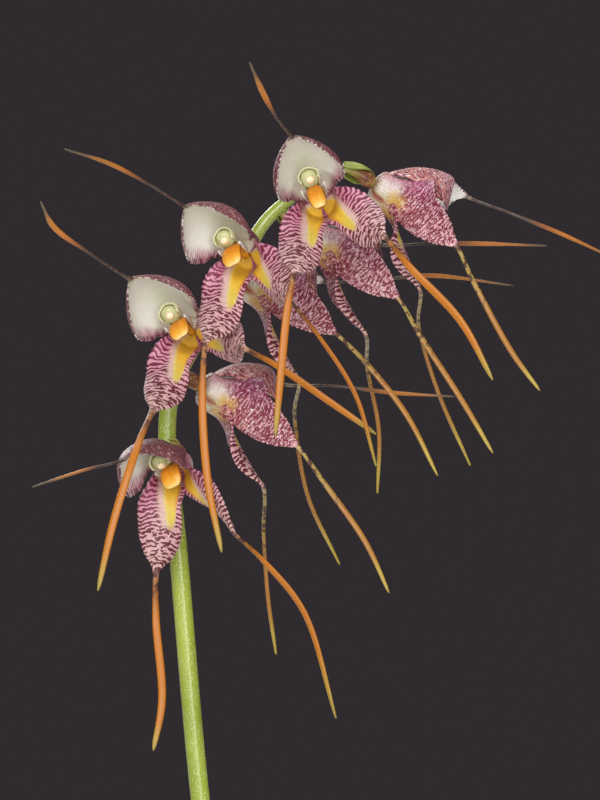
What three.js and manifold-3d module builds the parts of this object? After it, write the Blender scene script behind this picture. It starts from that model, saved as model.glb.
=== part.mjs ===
// A potted orchid of the many-flowered, long-tailed kind: a clay pot of bark chips, a tuft of leathery
// leaves, and one flower stalk that nods under eight spotted flowers with three orange tails each.
// Millimetres, +Z up. The origin is the middle of the pot's foot, and the flowers face -Y and +X.

import * as THREE from "three";
import { mergeVertices } from "three/addons/utils/BufferGeometryUtils.js";
import Module from "manifold-3d";

const wasm = await Module();
wasm.setup();

// Driving dimensions
const pot = {
  height: 86,
  rimRadius: 51,
  rimHeight: 17,
  rimStep: 3,
  footRadius: 34,
  wall: 4.5,
  wallThinning: 1,
  floor: 6,
  bevel: 1.5,
  sides: 32,
  drainRadius: 4,
  drainRing: 19,
  drainCount: 3,
};
const bark = {
  top: 74,
  wallGap: 0.4,
  sides: 24,
  chipCount: 36,
  chipLength: [12, 21],
  chipWidth: [7, 12],
  chipThickness: [4, 6],
  chipTilt: 0.7,
  chipRise: [-0.3, 1.1],
  seed: 11,
};
const stemHole = { depth: 14, above: 12, clearance: 0.6, sides: 10 };
const stalk = {
  radius: [[0, 1.6], [0.5, 1.45], [0.8, 1.35], [1, 0.8]],
  sheathPlaces: [0.24, 0.47],
  sheathLength: 0.055,
  sheathRise: 0.55,
  sides: 8,
  steps: 34,
};
const flowerStem = {
  radius: [[0, 0.7], [0.4, 0.75], [0.7, 1.15], [1, 0.85]],
  ovaryLength: 3,
  bractRadius: [[0, 1], [0.5, 1.3], [1, 1.15]],
  bractShare: 0.42,
  sides: 6,
};
const cup = {
  depth: 5.6,
  profile: [[0, -5.6], [1.4, -5.4], [2.6, -4.7], [2.95, -3.4], [2.3, -3.4], [0, -4.2]],
  sides: 9,
};
const sepalThickness = 0.65;
const touchGap = 0.3;

// The stalk's middle line from its foot in the bark to the highest flower.
const stalkLine = [
  [4, 0, 62.5],
  [4, 0, 76],
  [2.6, 0.6, 110],
  [-2.2, 0.8, 160],
  [-8, 0, 205],
  [-11.3, 0, 242],
  [-13, 0, 260],
  [-12.2, 0, 266.5],
  [-9.4, 0, 272.5],
  [-5.6, 0, 278.6],
  [-1.6, 0, 286],
  [1.6, 0, 291.6],
  [5.6, 0, 295.4],
  [9.6, 0.4, 298.2],
  [13.4, 1, 300],
];

// Profiles along a sepal's blade, each a list of [share of its length, value]. bend is the angle between
// the blade and the way the flower faces, and curl is how far each half of it bends round, both in degrees.
// depth is how much deeper its hollow is than a round one, and skew is how much wider the half next to the
// hood is than the other half.
const dorsal = {
  length: 15.6,
  across: [-1, -0.55, 0, 0.55, 1],
  bend: [[0, 60], [0.15, 55], [0.3, 40], [0.5, 28], [0.75, 14], [1, 0]],
  width: [[0, 6.4], [0.15, 13.6], [0.3, 17.2], [0.5, 17.4], [0.66, 14.8], [0.78, 9], [0.88, 4.2], [1, 1.1]],
  curl: [[0, 80], [0.12, 90], [0.3, 96], [0.5, 96], [0.66, 94], [0.78, 84], [0.88, 62], [0.95, 40], [1, 10]],
  depth: [[0, 1], [0.12, 1.3], [0.2, 1.4], [0.35, 1.24], [0.5, 1.2], [0.66, 1.02], [0.78, 0.95], [1, 1]],
  skew: [[0, 0], [1, 0]],
};
const lateral = {
  length: 15.3,
  across: [-1, -0.36, 0.36, 1],
  bend: [[0, 8], [0.15, 16], [0.32, 44], [0.7, 44], [1, 34]],
  width: [[0, 6.6], [0.15, 6.4], [0.32, 6.4], [0.5, 7.1], [0.68, 7], [0.86, 4.6], [0.95, 2.3], [1, 1.2]],
  curl: [[0, 72], [0.15, 58], [0.32, 10], [0.5, -36], [0.68, -46], [0.86, -38], [0.95, -18], [1, -6]],
  depth: [[0, 1], [1, 1]],
  skew: [[0, 0], [0.15, 0.2], [0.32, 0.36], [0.5, 0.2], [0.7, 0.04], [1, 0]],
};
const sepalRoot = { radius: 2.6, depth: -4.3 };
const twistAlong = [[0, 0], [0.25, 0.3], [0.5, 0.85], [0.75, 1], [1, 0.85]];
const bladeShares = [0, 0.15, 0.3, 0.45, 0.6, 0.75, 0.88, 1];
const tailSteps = 5;
const tail = {
  width: [[0, 1.1], [0.15, 0.75], [0.4, 1.35], [0.75, 1.3], [0.92, 0.9], [1, 0.6]],
  thickness: [[0, 0.7], [0.3, 0.7], [0.55, 0.85], [0.85, 0.75], [1, 0.6]],
  edge: 0.5,
};

// Where each flower sits, which way it faces, where its stem leaves the stalk, and where its tails go.
// turn is the way it faces round Z, from -Y towards +X, tilt is how far it looks up, and roll leans its top
// to the left of someone who looks into it. spread is the angle of the left and the right sepal from straight
// down, and twist turns each of them about its own middle line.
const flowers = [
  {
    place: [-12.5, -9.5, 253.1], turn: -10, tilt: -31, roll: 28, spread: [38, 38], twist: [12, 12],
    node: [-12.9, 0, 259],
    dorsalTail: [[-25, -23.5, 254.6], [-33, -28.5, 252]],
    leftTail: [[-14.6, -12, 232], [-13.7, -12, 220], [-15, -13, 212.4]],
    rightTail: [[1.6, -13.5, 240.8], [7.6, -14.5, 233.2], [12.4, -16.5, 217.3]],
  },
  {
    place: [-10.3, -9.1, 274.9], turn: -15, tilt: -3, roll: 33, spread: [48, 48], twist: [5, 5],
    node: [-10.6, 0, 270],
    dorsalTail: [[-24.2, -26, 286.8], [-29.8, -30, 290.9], [-31.7, -32, 294.6]],
    leftTail: [[-17.5, -26, 257.5], [-20.8, -28.5, 247], [-23.2, -29, 236.5]],
    rightTail: [[3.3, -17, 270.3], [11.5, -17.5, 264.7], [18.4, -19, 259.9]],
  },
  {
    place: [-2.3, -16, 286.1], turn: -19, tilt: -9, roll: 25, spread: [40, 40], twist: [5, 5],
    node: [-3.2, 0, 282.8],
    dorsalTail: [[-15.5, -28.5, 297.2], [-21.5, -33.5, 300.3], [-28.1, -37.5, 302.4]],
    leftTail: [[-7.6, -23, 265], [-6.8, -24, 253], [-4.7, -25.5, 242.2]],
    rightTail: [[10, -20, 274.3], [15.3, -21, 265.8], [18.4, -21.5, 255.1]],
  },
  {
    place: [9.8, -18, 294.8], turn: -2, tilt: 2, roll: 22, spread: [39, 39], twist: [4, 4],
    node: [7.6, 0.2, 297],
    dorsalTail: [[3.4, -33, 307.3], [1.3, -38, 311.2], [-0.5, -41, 315.3]],
    leftTail: [[5.1, -27.3, 278.5], [4.2, -28, 269.5], [3.3, -28.5, 259.6]],
    rightTail: [[23.5, -24, 284.8], [31, -26.5, 276.8], [35.8, -28, 268]],
  },
  {
    place: [22.8, 3, 294.5], turn: 102, tilt: -32, roll: -46, spread: [32, 16], twist: [20, 52],
    node: [13.4, 1, 300],
    dorsalTail: [[38.5, 4, 293.2], [46, 6, 290.2], [55.8, 9, 285.7]],
    leftTail: [[33.3, -5, 282.3], [38.8, -7, 272.2], [43, -8.5, 266.4]],
    rightTail: [[25, 11, 275.5], [28, 12, 265.8], [32.7, 13, 255.1]],
  },
  {
    place: [12.4, 4.5, 287.2], turn: 114, tilt: -30, roll: -49, spread: [25, 12], twist: [20, 52],
    node: [3.8, 0, 293.8],
    dorsalTail: [[26.5, 10, 288.6], [34, 13, 288.6], [44.4, 17, 288.3]],
    leftTail: [[25, -2, 274.8], [31.3, -3.2, 265], [36, -4.5, 257]],
    rightTail: [[17.2, 13.5, 269.5], [18.9, 15, 260.5], [18.7, 16, 250.9]],
  },
  {
    place: [2.8, 6.5, 280.9], turn: 111, tilt: -28, roll: -46, spread: [32, 15], twist: [22, 52],
    node: [-4.4, 0, 280.6],
    dorsalTail: [[19, 15, 283.2], [27, 18, 283.8], [39.3, 22, 282.3]],
    leftTail: [[16.8, 0, 270.7], [23, -1.2, 262.8], [27.7, -3, 253.6]],
    rightTail: [[6.2, 16.4, 262], [8.2, 18, 250.5], [13, 20, 240.1]],
  },
  {
    place: [-3.1, 4.5, 264.6], turn: 113, tilt: -25, roll: -44, spread: [29, 14], twist: [22, 52],
    node: [-12.4, 0, 264.6],
    dorsalTail: [[12.5, 7.4, 267.1], [21, 8.2, 266.1], [30.3, 8.6, 265.5]],
    leftTail: [[10.8, -2, 252.3], [16.8, -3.3, 243.7], [20.4, -5, 236]],
    rightTail: [[1.5, 10, 244.8], [2.2, 11, 235], [3.4, 12, 226.6]],
  },
];

// Leaves, each as [way round Z, distance of its foot from the middle, length, lean at its foot, lean at its
// tip], in degrees and millimetres. Each is a stem-like foot that widens into a leathery, notched blade.
const leaves = [
  [20, 9, 128, 4, 26],
  [95, 10, 132, 3, 22],
  [168, 9, 124, 5, 30],
  [238, 10, 130, 4, 24],
  [310, 9.5, 118, 6, 32],
  [0, 19, 118, 10, 62],
  [55, 18, 124, 8, 54],
  [118, 19, 112, 12, 66],
  [148, 17.5, 104, 14, 74],
  [205, 19, 120, 9, 58],
  [270, 18, 108, 13, 68],
  [338, 18.5, 102, 14, 72],
];
const leafShape = {
  width: [
    [0, 3.4], [0.12, 3.1], [0.34, 3.4], [0.48, 8.5], [0.64, 17], [0.79, 22], [0.91, 18.5], [0.97, 12], [1, 5],
  ],
  fold: [[0, 60], [0.3, 58], [0.5, 34], [0.75, 20], [1, 8]],
  thickness: [[0, 2.4], [0.36, 1.8], [0.6, 1.3], [1, 1]],
  across: [-1, 0, 1],
  seatDepth: 12,
  straightAbove: 6,
  notch: 1.2,
  steps: 8,
};

// The column's middle line, its small petals and the lip, in the flower's own frame.
const columnLine = [[0, 0.4, -3.3], [0, 1, -2.2], [0, 2.5, -0.2], [0, 3.5, 1.4]];
const columnRadius = [[0, 0.65], [1, 1.05]];
const cap = { radius: 0.72, place: [0, 3, 2] };
const petal = {
  rows: [[0.5, 0.4, -3.3, 0.4], [1.2, 0.9, -1.6, 0.6], [1.5, 2, 0.3, 0.75], [1.4, 2.8, 1.5, 0.4]],
  thickness: 0.6,
  slant: 0.5,
};
const lip = {
  rows: [
    [-1.2, -3.2, 0.45, 0.7],
    [-0.9, -1.8, 0.6, 0.8],
    [0.2, -0.1, 0.9, 0.9],
    [0.9, 1.6, 1.15, 0.9],
    [0.5, 3.1, 1.15, 0.84],
    [-0.7, 3.9, 0.7, 0.64],
  ],
  lean: [-17, 69],
  crown: 0.35,
  edge: 0.4,
};

// Helpers
const radians = THREE.MathUtils.degToRad;
const vector = ([x, y, z]) => new THREE.Vector3(x, y, z);

// A value read off a list of [place, value] pairs along a smooth line through them.
function read(pairs, at) {
  let i = 0;
  while (i < pairs.length - 2 && at > pairs[i + 1][0]) {
    i += 1;
  }
  const slope = (k) => {
    const a = pairs[Math.max(k - 1, 0)];
    const b = pairs[Math.min(k + 1, pairs.length - 1)];
    return (b[1] - a[1]) / (b[0] - a[0]);
  };
  const [x0, y0] = pairs[i];
  const [x1, y1] = pairs[i + 1];
  const span = x1 - x0;
  const t = THREE.MathUtils.clamp((at - x0) / span, 0, 1);
  const t2 = t * t;
  const t3 = t2 * t;
  return (
    (2 * t3 - 3 * t2 + 1) * y0 +
    (t3 - 2 * t2 + t) * span * slope(i) +
    (3 * t2 - 2 * t3) * y1 +
    (t3 - t2) * span * slope(i + 1)
  );
}

// A seeded draw of numbers from 0 to 1.
function draws(seed) {
  let state = seed;
  return () => {
    state = (state + 0x6d2b79f5) | 0;
    let t = Math.imul(state ^ (state >>> 15), 1 | state);
    t = (t + Math.imul(t ^ (t >>> 7), 61 | t)) ^ t;
    return ((t ^ (t >>> 14)) >>> 0) / 4294967296;
  };
}

function solidOf(geometry) {
  const bare = geometry.clone();
  bare.deleteAttribute("normal");
  bare.deleteAttribute("uv");
  const merged = mergeVertices(bare, 1e-4);
  return new wasm.Manifold(
    new wasm.Mesh({
      numProp: 3,
      vertProperties: merged.attributes.position.array,
      triVerts: merged.index.array,
    }),
  );
}

function geometryOf(solid) {
  const { vertProperties, triVerts } = solid.getMesh();
  const made = new THREE.BufferGeometry();
  made.setAttribute("position", new THREE.BufferAttribute(vertProperties, 3));
  made.setIndex(new THREE.BufferAttribute(triVerts, 1));
  made.computeVertexNormals();
  return made;
}

function fuse(solids) {
  return solids.reduce((whole, piece) => whole.add(piece));
}

// A closed geometry from points and triangles, turned to face outwards.
function closed(points, triangles) {
  let volume = 0;
  for (const [a, b, c] of triangles) {
    volume += points[a].dot(points[b].clone().cross(points[c]));
  }
  const facing = volume < 0 ? triangles.map(([a, b, c]) => [a, c, b]) : triangles;
  const made = new THREE.BufferGeometry().setFromPoints(points);
  made.setIndex(facing.flat());
  return made;
}

// A thin body between two grids of points of the same size, closed all round its edge.
function slab(front, back) {
  const rows = front.length;
  const columns = front[0].length;
  const points = [...front.flat(), ...back.flat()];
  const f = (i, j) => i * columns + j;
  const b = (i, j) => rows * columns + i * columns + j;
  const triangles = [];
  const quad = (p, q, r, s) => triangles.push([p, q, r], [p, r, s]);
  for (let i = 0; i < rows - 1; i++) {
    for (let j = 0; j < columns - 1; j++) {
      quad(f(i, j), f(i, j + 1), f(i + 1, j + 1), f(i + 1, j));
      quad(b(i, j), b(i + 1, j), b(i + 1, j + 1), b(i, j + 1));
    }
    const last = columns - 1;
    quad(f(i, 0), f(i + 1, 0), b(i + 1, 0), b(i, 0));
    quad(f(i + 1, last), f(i, last), b(i, last), b(i + 1, last));
  }
  for (let j = 0; j < columns - 1; j++) {
    const end = rows - 1;
    quad(f(0, j + 1), f(0, j), b(0, j), b(0, j + 1));
    quad(f(end, j), f(end, j + 1), b(end, j + 1), b(end, j));
  }
  return closed(points, triangles);
}

// A round body of changing radius along a curve.
function tube(curve, radiusAt, sides, steps) {
  const frames = curve.computeFrenetFrames(steps, false);
  const points = [];
  const triangles = [];
  for (let i = 0; i <= steps; i++) {
    const centre = curve.getPointAt(i / steps);
    const radius = radiusAt(i / steps);
    for (let j = 0; j < sides; j++) {
      const angle = (2 * Math.PI * j) / sides;
      const arm = frames.normals[i].clone().multiplyScalar(Math.cos(angle) * radius);
      arm.addScaledVector(frames.binormals[i], Math.sin(angle) * radius);
      points.push(centre.clone().add(arm));
    }
  }
  for (let i = 0; i < steps; i++) {
    for (let j = 0; j < sides; j++) {
      const a = i * sides + j;
      const b = i * sides + ((j + 1) % sides);
      triangles.push([a, b, b + sides], [a, b + sides, a + sides]);
    }
  }
  for (let j = 1; j < sides - 1; j++) {
    const end = steps * sides;
    triangles.push([0, j + 1, j], [end, end + j, end + j + 1]);
  }
  return closed(points, triangles);
}

function lathe(profile, sides) {
  const turned = new THREE.LatheGeometry(
    profile.map(([r, z]) => new THREE.Vector2(r, z)),
    sides,
  );
  turned.rotateX(Math.PI / 2);
  return turned;
}

function material(colour, roughness) {
  return new THREE.MeshStandardMaterial({ color: colour, roughness, metalness: 0 });
}

function node(name, geometry, look) {
  const mesh = new THREE.Mesh(geometry, look);
  mesh.name = name;
  return mesh;
}

// Looks
const looks = {
  clay: material("#b5643c", 0.9),
  bark: material("#6b4430", 0.95),
  leaf: material("#4d7a2c", 0.45),
  stalk: material("#8aa53c", 0.5),
  sepals: material("#b0667f", 0.6),
  column: material("#eee0b8", 0.5),
  lip: material("#f0a516", 0.45),
};

// The radius of the pot's outside under its rim, and of its inside, at a height.
function potRadius(z) {
  return pot.footRadius + ((pot.rimRadius - pot.rimStep - pot.footRadius) * z) / pot.height;
}

function insideRadius(z) {
  return potRadius(z) - pot.wall + (pot.wallThinning * (z - pot.floor)) / (pot.height - pot.floor);
}

function makePot() {
  const underRim = pot.height - pot.rimHeight;
  const profile = [
    [0, 0],
    [pot.footRadius - pot.bevel, 0],
    [pot.footRadius, pot.bevel],
    [potRadius(underRim), underRim],
    [potRadius(underRim) + pot.rimStep, underRim + 1],
    [pot.rimRadius, pot.height - pot.bevel],
    [pot.rimRadius - pot.bevel, pot.height],
    [insideRadius(pot.height) + pot.bevel, pot.height],
    [insideRadius(pot.height - pot.bevel), pot.height - pot.bevel],
    [insideRadius(pot.floor), pot.floor],
    [0, pot.floor],
  ];
  let body = solidOf(lathe(profile, pot.sides));
  for (let i = 0; i < pot.drainCount; i++) {
    const angle = (2 * Math.PI * i) / pot.drainCount + Math.PI / 6;
    const drain = new THREE.CylinderGeometry(pot.drainRadius, pot.drainRadius, 3 * pot.floor, 14);
    drain.rotateX(Math.PI / 2);
    drain.translate(pot.drainRing * Math.cos(angle), pot.drainRing * Math.sin(angle), 0);
    body = body.subtract(solidOf(drain));
  }
  return geometryOf(body);
}

function between([low, high], share) {
  return low + (high - low) * share;
}

// One chip: a box with its corners pulled about.
function chip(draw) {
  const box = new THREE.BoxGeometry(
    between(bark.chipLength, draw()),
    between(bark.chipWidth, draw()),
    between(bark.chipThickness, draw()),
  );
  box.deleteAttribute("normal");
  box.deleteAttribute("uv");
  const merged = mergeVertices(box, 1e-4);
  const corners = merged.attributes.position;
  for (let i = 0; i < corners.count; i++) {
    corners.setXYZ(
      i,
      corners.getX(i) * (0.72 + 0.45 * draw()),
      corners.getY(i) * (0.7 + 0.5 * draw()),
      corners.getZ(i) * (0.7 + 0.6 * draw()),
    );
  }
  return merged;
}

// The potting bark: a packed core with loose chips on top, inside the pot's wall, with a hole for each
// stem. Only its outer skin is kept, without the pockets that chips can close.
function makeBark(stems) {
  const barkRadius = (z) => insideRadius(z) - bark.wallGap;
  const low = pot.floor + bark.wallGap;
  const core = [
    [0, low],
    [barkRadius(low), low],
    [barkRadius(bark.top - 1), bark.top - 1],
    [barkRadius(bark.top) - 3, bark.top],
    [0, bark.top],
  ];
  const bound = [
    [0, 0],
    [barkRadius(0), 0],
    [barkRadius(pot.height), pot.height],
    [0, pot.height],
  ];
  let body = solidOf(lathe(core, bark.sides));
  const draw = draws(bark.seed);
  const goldenTurn = Math.PI * (3 - Math.sqrt(5));
  for (let i = 0; i < bark.chipCount; i++) {
    const piece = chip(draw);
    const reach = barkRadius(bark.top) - bark.chipLength[0] / 2 - 2;
    const distance = reach * Math.sqrt((i + 0.5) / bark.chipCount);
    const angle = i * goldenTurn;
    piece.rotateX((draw() - 0.5) * bark.chipTilt);
    piece.rotateY((draw() - 0.5) * bark.chipTilt);
    piece.rotateZ(draw() * 2 * Math.PI);
    piece.translate(
      distance * Math.cos(angle),
      distance * Math.sin(angle),
      bark.top + between(bark.chipRise, draw()),
    );
    body = body.add(solidOf(piece));
  }
  body = body.intersect(solidOf(lathe(bound, bark.sides)));
  for (const [x, y, radius] of stems) {
    const height = stemHole.depth + stemHole.above;
    const hole = new THREE.CylinderGeometry(radius, radius, height, stemHole.sides);
    hole.rotateX(Math.PI / 2);
    hole.translate(x, y, bark.top + stemHole.above - height / 2);
    body = body.subtract(solidOf(hole));
  }
  const skins = body.decompose();
  const outerSkin = skins.find((skin) => skin.volume() > 0);
  return geometryOf(outerSkin);
}

// The shares of a leaf's length where it has a section: its foot, the top of its straight part, and then
// closer and closer towards its tip.
function leafShares(straight) {
  const shares = [0, straight];
  for (let i = 1; i <= leafShape.steps; i++) {
    shares.push(straight + (1 - straight) * Math.sin(((i / leafShape.steps) * Math.PI) / 2) ** 0.86);
  }
  return shares;
}

function makeLeaf([around, distance, length, leanFoot, leanTip]) {
  const out = new THREE.Vector3(Math.cos(radians(around)), Math.sin(radians(around)), 0);
  const up = new THREE.Vector3(0, 0, 1);
  const side = up.clone().cross(out);
  const centre = out.clone().multiplyScalar(distance);
  centre.z = bark.top - leafShape.seatDepth;
  const front = [];
  const back = [];
  const straight = (leafShape.seatDepth + leafShape.straightAbove) / length;
  const smallSteps = 6;
  let last = 0;
  for (const share of leafShares(straight)) {
    let lean = 0;
    for (let k = 0; k < smallSteps; k++) {
      const at = last + ((share - last) * (k + 0.5)) / smallSteps;
      const bent = THREE.MathUtils.clamp((at - straight) / (1 - straight), 0, 1);
      lean = at < straight ? 0 : radians(leanFoot + (leanTip - leanFoot) * bent ** 1.3);
      const step = ((share - last) * length) / smallSteps;
      centre.addScaledVector(out, Math.sin(lean) * step).addScaledVector(up, Math.cos(lean) * step);
    }
    last = share;
    const inward = out.clone().multiplyScalar(-Math.cos(lean)).addScaledVector(up, Math.sin(lean));
    const along = out.clone().multiplyScalar(Math.sin(lean)).addScaledVector(up, Math.cos(lean));
    const halfWidth = read(leafShape.width, share) / 2;
    const halfFold = radians(read(leafShape.fold, share));
    const halfThickness = read(leafShape.thickness, share) / 2;
    const rowOf = (sense) =>
      leafShape.across.map((w) => {
        const fold = Math.abs(w) * halfFold;
        const normal = side.clone().multiplyScalar(-Math.sign(w) * Math.sin(fold * 0.7));
        normal.addScaledVector(inward, Math.cos(fold * 0.7));
        const point = centre.clone().addScaledVector(side, w * halfWidth * Math.cos(fold * 0.5));
        point.addScaledVector(inward, Math.abs(w) * halfWidth * Math.sin(fold * 0.5));
        if (share === 1 && w === 0) point.addScaledVector(along, -leafShape.notch);
        return point.addScaledVector(normal, sense * halfThickness);
      });
    front.push(rowOf(1));
    back.push(rowOf(-1));
  }
  return slab(front, back);
}

function leafFoot([around, distance]) {
  const angle = radians(around);
  return [distance * Math.cos(angle), distance * Math.sin(angle)];
}

// The flower's own frame: +Z is the way it faces, +Y its top, +X to the right of someone who looks at it.
function placeFlower(group, { place, turn, tilt, roll }) {
  const [a, b, c] = [turn, tilt, roll].map(radians);
  const facing = new THREE.Vector3(
    Math.sin(a) * Math.cos(b),
    -Math.cos(a) * Math.cos(b),
    Math.sin(b),
  );
  const level = new THREE.Vector3(0, 0, 1).cross(facing).normalize();
  const top = facing.clone().cross(level);
  const right = level.clone().multiplyScalar(Math.cos(c)).addScaledVector(top, Math.sin(c));
  const up = top.multiplyScalar(Math.cos(c)).addScaledVector(level, -Math.sin(c));
  group.quaternion.setFromRotationMatrix(new THREE.Matrix4().makeBasis(right, up, facing));
  group.position.copy(vector(place));
  group.updateMatrixWorld(true);
}

// The middle line of a blade, stepped out from the cup's wall, with its direction and inner side.
function bladeLine(shape, around, shares, twist) {
  const out = new THREE.Vector3(Math.sin(around), Math.cos(around), 0);
  const facing = new THREE.Vector3(0, 0, 1);
  const smallSteps = 12;
  const centre = out.clone().multiplyScalar(sepalRoot.radius).addScaledVector(facing, sepalRoot.depth);
  let last = 0;
  return shares.map((share) => {
    for (let k = 0; k < smallSteps; k++) {
      const angle = radians(read(shape.bend, last + ((share - last) * (k + 0.5)) / smallSteps));
      const step = ((share - last) * shape.length) / smallSteps;
      centre.addScaledVector(out, Math.sin(angle) * step);
      centre.addScaledVector(facing, Math.cos(angle) * step);
    }
    last = share;
    const angle = radians(read(shape.bend, share));
    const along = out.clone().multiplyScalar(Math.sin(angle)).addScaledVector(facing, Math.cos(angle));
    const inward = out.clone().multiplyScalar(-Math.cos(angle)).addScaledVector(facing, Math.sin(angle));
    return {
      centre: centre.clone(),
      along,
      inward: inward.applyAxisAngle(along, radians(twist * read(twistAlong, share))),
      width: read(shape.width, share),
      curl: radians(read(shape.curl, share)),
      depth: read(shape.depth, share),
      skew: read(shape.skew, share),
      thickness: sepalThickness,
      edge: 1,
    };
  });
}

// One sepal with its tail: a thin cupped blade that runs on into a slim, thicker strap. hand is 1 where
// the hood lies on the sepal's own side, and -1 where it lies on the other.
function makeSepal(shape, around, tailPoints, hand, twist) {
  const stations = bladeLine(shape, around, bladeShares, -hand * twist);
  const tip = stations[stations.length - 1];
  const before = tip.centre.clone().addScaledVector(tip.along, -2);
  const line = new THREE.CatmullRomCurve3([before, tip.centre, ...tailPoints]);
  const spans = tailPoints.length + 1;
  let { along, inward } = tip;
  for (let i = 1; i <= tailSteps; i++) {
    const share = i / tailSteps;
    along = line.getTangent((1 + share * tailPoints.length) / spans);
    inward = inward.clone().addScaledVector(along, -inward.dot(along)).normalize();
    stations.push({
      centre: line.getPoint((1 + share * tailPoints.length) / spans),
      along,
      inward,
      width: read(tail.width, share),
      curl: radians(1),
      depth: 1,
      skew: 0,
      thickness: read(tail.thickness, share),
      edge: tail.edge,
    });
  }
  const gridOf = (sense) =>
    stations.map((station) => {
      const side = station.along.clone().cross(station.inward);
      const bow = station.width / 2 / station.curl;
      return shape.across.map((w) => {
        const turned = w * (1 + hand * w * station.skew) * station.curl;
        const normal = side.clone().multiplyScalar(-Math.sin(turned));
        normal.addScaledVector(station.inward, Math.cos(turned));
        const half = (sense * station.thickness * (Math.abs(w) === 1 ? station.edge : 1)) / 2;
        return station.centre
          .clone()
          .addScaledVector(side, bow * Math.sin(turned))
          .addScaledVector(station.inward, bow * (1 - Math.cos(turned)) * station.depth)
          .addScaledVector(normal, half);
      });
    });
  return slab(gridOf(1), gridOf(-1));
}

// The three sepals of a flower, which rise from the short cup at its back.
function makeSepals(flower, group) {
  const local = (list) => list.map((point) => group.worldToLocal(vector(point)));
  const [left, right] = flower.spread.map(radians);
  return geometryOf(
    fuse([
      solidOf(lathe(cup.profile, cup.sides)),
      solidOf(makeSepal(dorsal, 0, local(flower.dorsalTail), 1, 0)),
      solidOf(makeSepal(lateral, Math.PI + left, local(flower.leftTail), 1, flower.twist[0])),
      solidOf(makeSepal(lateral, Math.PI - right, local(flower.rightTail), -1, flower.twist[1])),
    ]),
  );
}

// The column with its cap, and the two small petals beside it.
function makeColumn() {
  const line = new THREE.CatmullRomCurve3(columnLine.map(vector));
  const stem = tube(line, (t) => read(columnRadius, t), 5, 3);
  const head = new THREE.SphereGeometry(cap.radius, 6, 4);
  head.translate(...cap.place);
  const petals = [-1, 1].map((hand) => {
    const side = (sense) =>
      petal.rows.map(([x, y, z, half]) =>
        [-1, 1].map(
          (w) =>
            new THREE.Vector3(
              hand * x + (sense * petal.thickness) / 2,
              y + w * half,
              z - w * half * petal.slant,
            ),
        ),
      );
    return solidOf(slab(side(1), side(-1)));
  });
  return geometryOf(fuse([solidOf(stem), solidOf(head), ...petals]));
}

// The lip, a thick tongue that arches out under the column. Each of its rows is
// [height, reach, half width, thickness].
function makeLip() {
  const [startLean, endLean] = lip.lean.map(radians);
  const side = (sense) =>
    lip.rows.map(([y, z, half, thickness], i) => {
      const lean = startLean + ((endLean - startLean) * i) / (lip.rows.length - 1);
      return [-1, 0, 1].map((w) => {
        const rise = (sense * thickness * (w === 0 ? 1 : lip.edge)) / 2 - lip.crown * w * w;
        return new THREE.Vector3(w * half, y + rise * Math.cos(lean), z + rise * Math.sin(lean));
      });
    });
  return slab(side(1), side(-1));
}

// A flower's stem and ovary, from the stalk to just behind the cup, with the bract that wraps its foot.
function makeFlowerStem(flower, group) {
  const root = vector(flower.node);
  const end = group.localToWorld(new THREE.Vector3(0, 0, -cup.depth - touchGap));
  const before = group.localToWorld(new THREE.Vector3(0, 0, -cup.depth - flowerStem.ovaryLength));
  const line = new THREE.CatmullRomCurve3([root, root.clone().lerp(before, 0.55), before, end]);
  const stem = tube(line, (t) => read(flowerStem.radius, t), flowerStem.sides, 5);
  const wrap = new THREE.LineCurve3(root, line.getPointAt(flowerStem.bractShare));
  const bract = tube(wrap, (t) => read(flowerStem.bractRadius, t), flowerStem.sides, 2);
  return [solidOf(stem), solidOf(bract)];
}

function makeStalk(stems) {
  const line = new THREE.CatmullRomCurve3(stalkLine.map(vector));
  const radiusAt = (t) => read(stalk.radius, t);
  const main = solidOf(tube(line, radiusAt, stalk.sides, stalk.steps));
  const sheaths = stalk.sheathPlaces.map((t) => {
    const short = new THREE.LineCurve3(line.getPointAt(t), line.getPointAt(t + stalk.sheathLength));
    const swelling = (u) => radiusAt(t) + stalk.sheathRise * (1 - 0.6 * Math.abs(u - 0.4));
    return solidOf(tube(short, swelling, stalk.sides, 3));
  });
  return geometryOf(fuse([main, ...sheaths, ...stems]));
}

// The whole plant
const plant = new THREE.Group();
const leafHole = Math.hypot(leafShape.width[0][1], leafShape.thickness[0][1]) / 2 + stemHole.clearance;
const stems = [
  ...leaves.map((leaf) => [...leafFoot(leaf), leafHole]),
  [stalkLine[0][0], stalkLine[0][1], stalk.radius[0][1] + stemHole.clearance],
];
plant.add(node("clay_pot", makePot(), looks.clay));
plant.add(node("bark_chips", makeBark(stems), looks.bark));
leaves.forEach((leaf, i) => {
  const name = `leaf_${String(i + 1).padStart(2, "0")}`;
  plant.add(node(name, makeLeaf(leaf), looks.leaf));
});

const flowerStems = [];
flowers.forEach((flower, i) => {
  const group = new THREE.Group();
  placeFlower(group, flower);
  group.add(node(`flower_${i + 1}_sepals`, makeSepals(flower, group), looks.sepals));
  group.add(node(`flower_${i + 1}_column`, makeColumn(), looks.column));
  group.add(node(`flower_${i + 1}_lip`, makeLip(), looks.lip));
  flowerStems.push(...makeFlowerStem(flower, group));
  plant.add(group);
});
plant.add(node("flower_stalk", makeStalk(flowerStems), looks.stalk));

export default plant;
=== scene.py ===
# A potted orchid with one stalk of spotted, long-tailed flowers, dressed for rendering.
# Sizes in the settings are millimetres. Everything is scaled to metres when a mesh is made.

import math
import random

import bmesh
import bpy
import numpy as np
from mathutils import Matrix, Vector, noise


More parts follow.
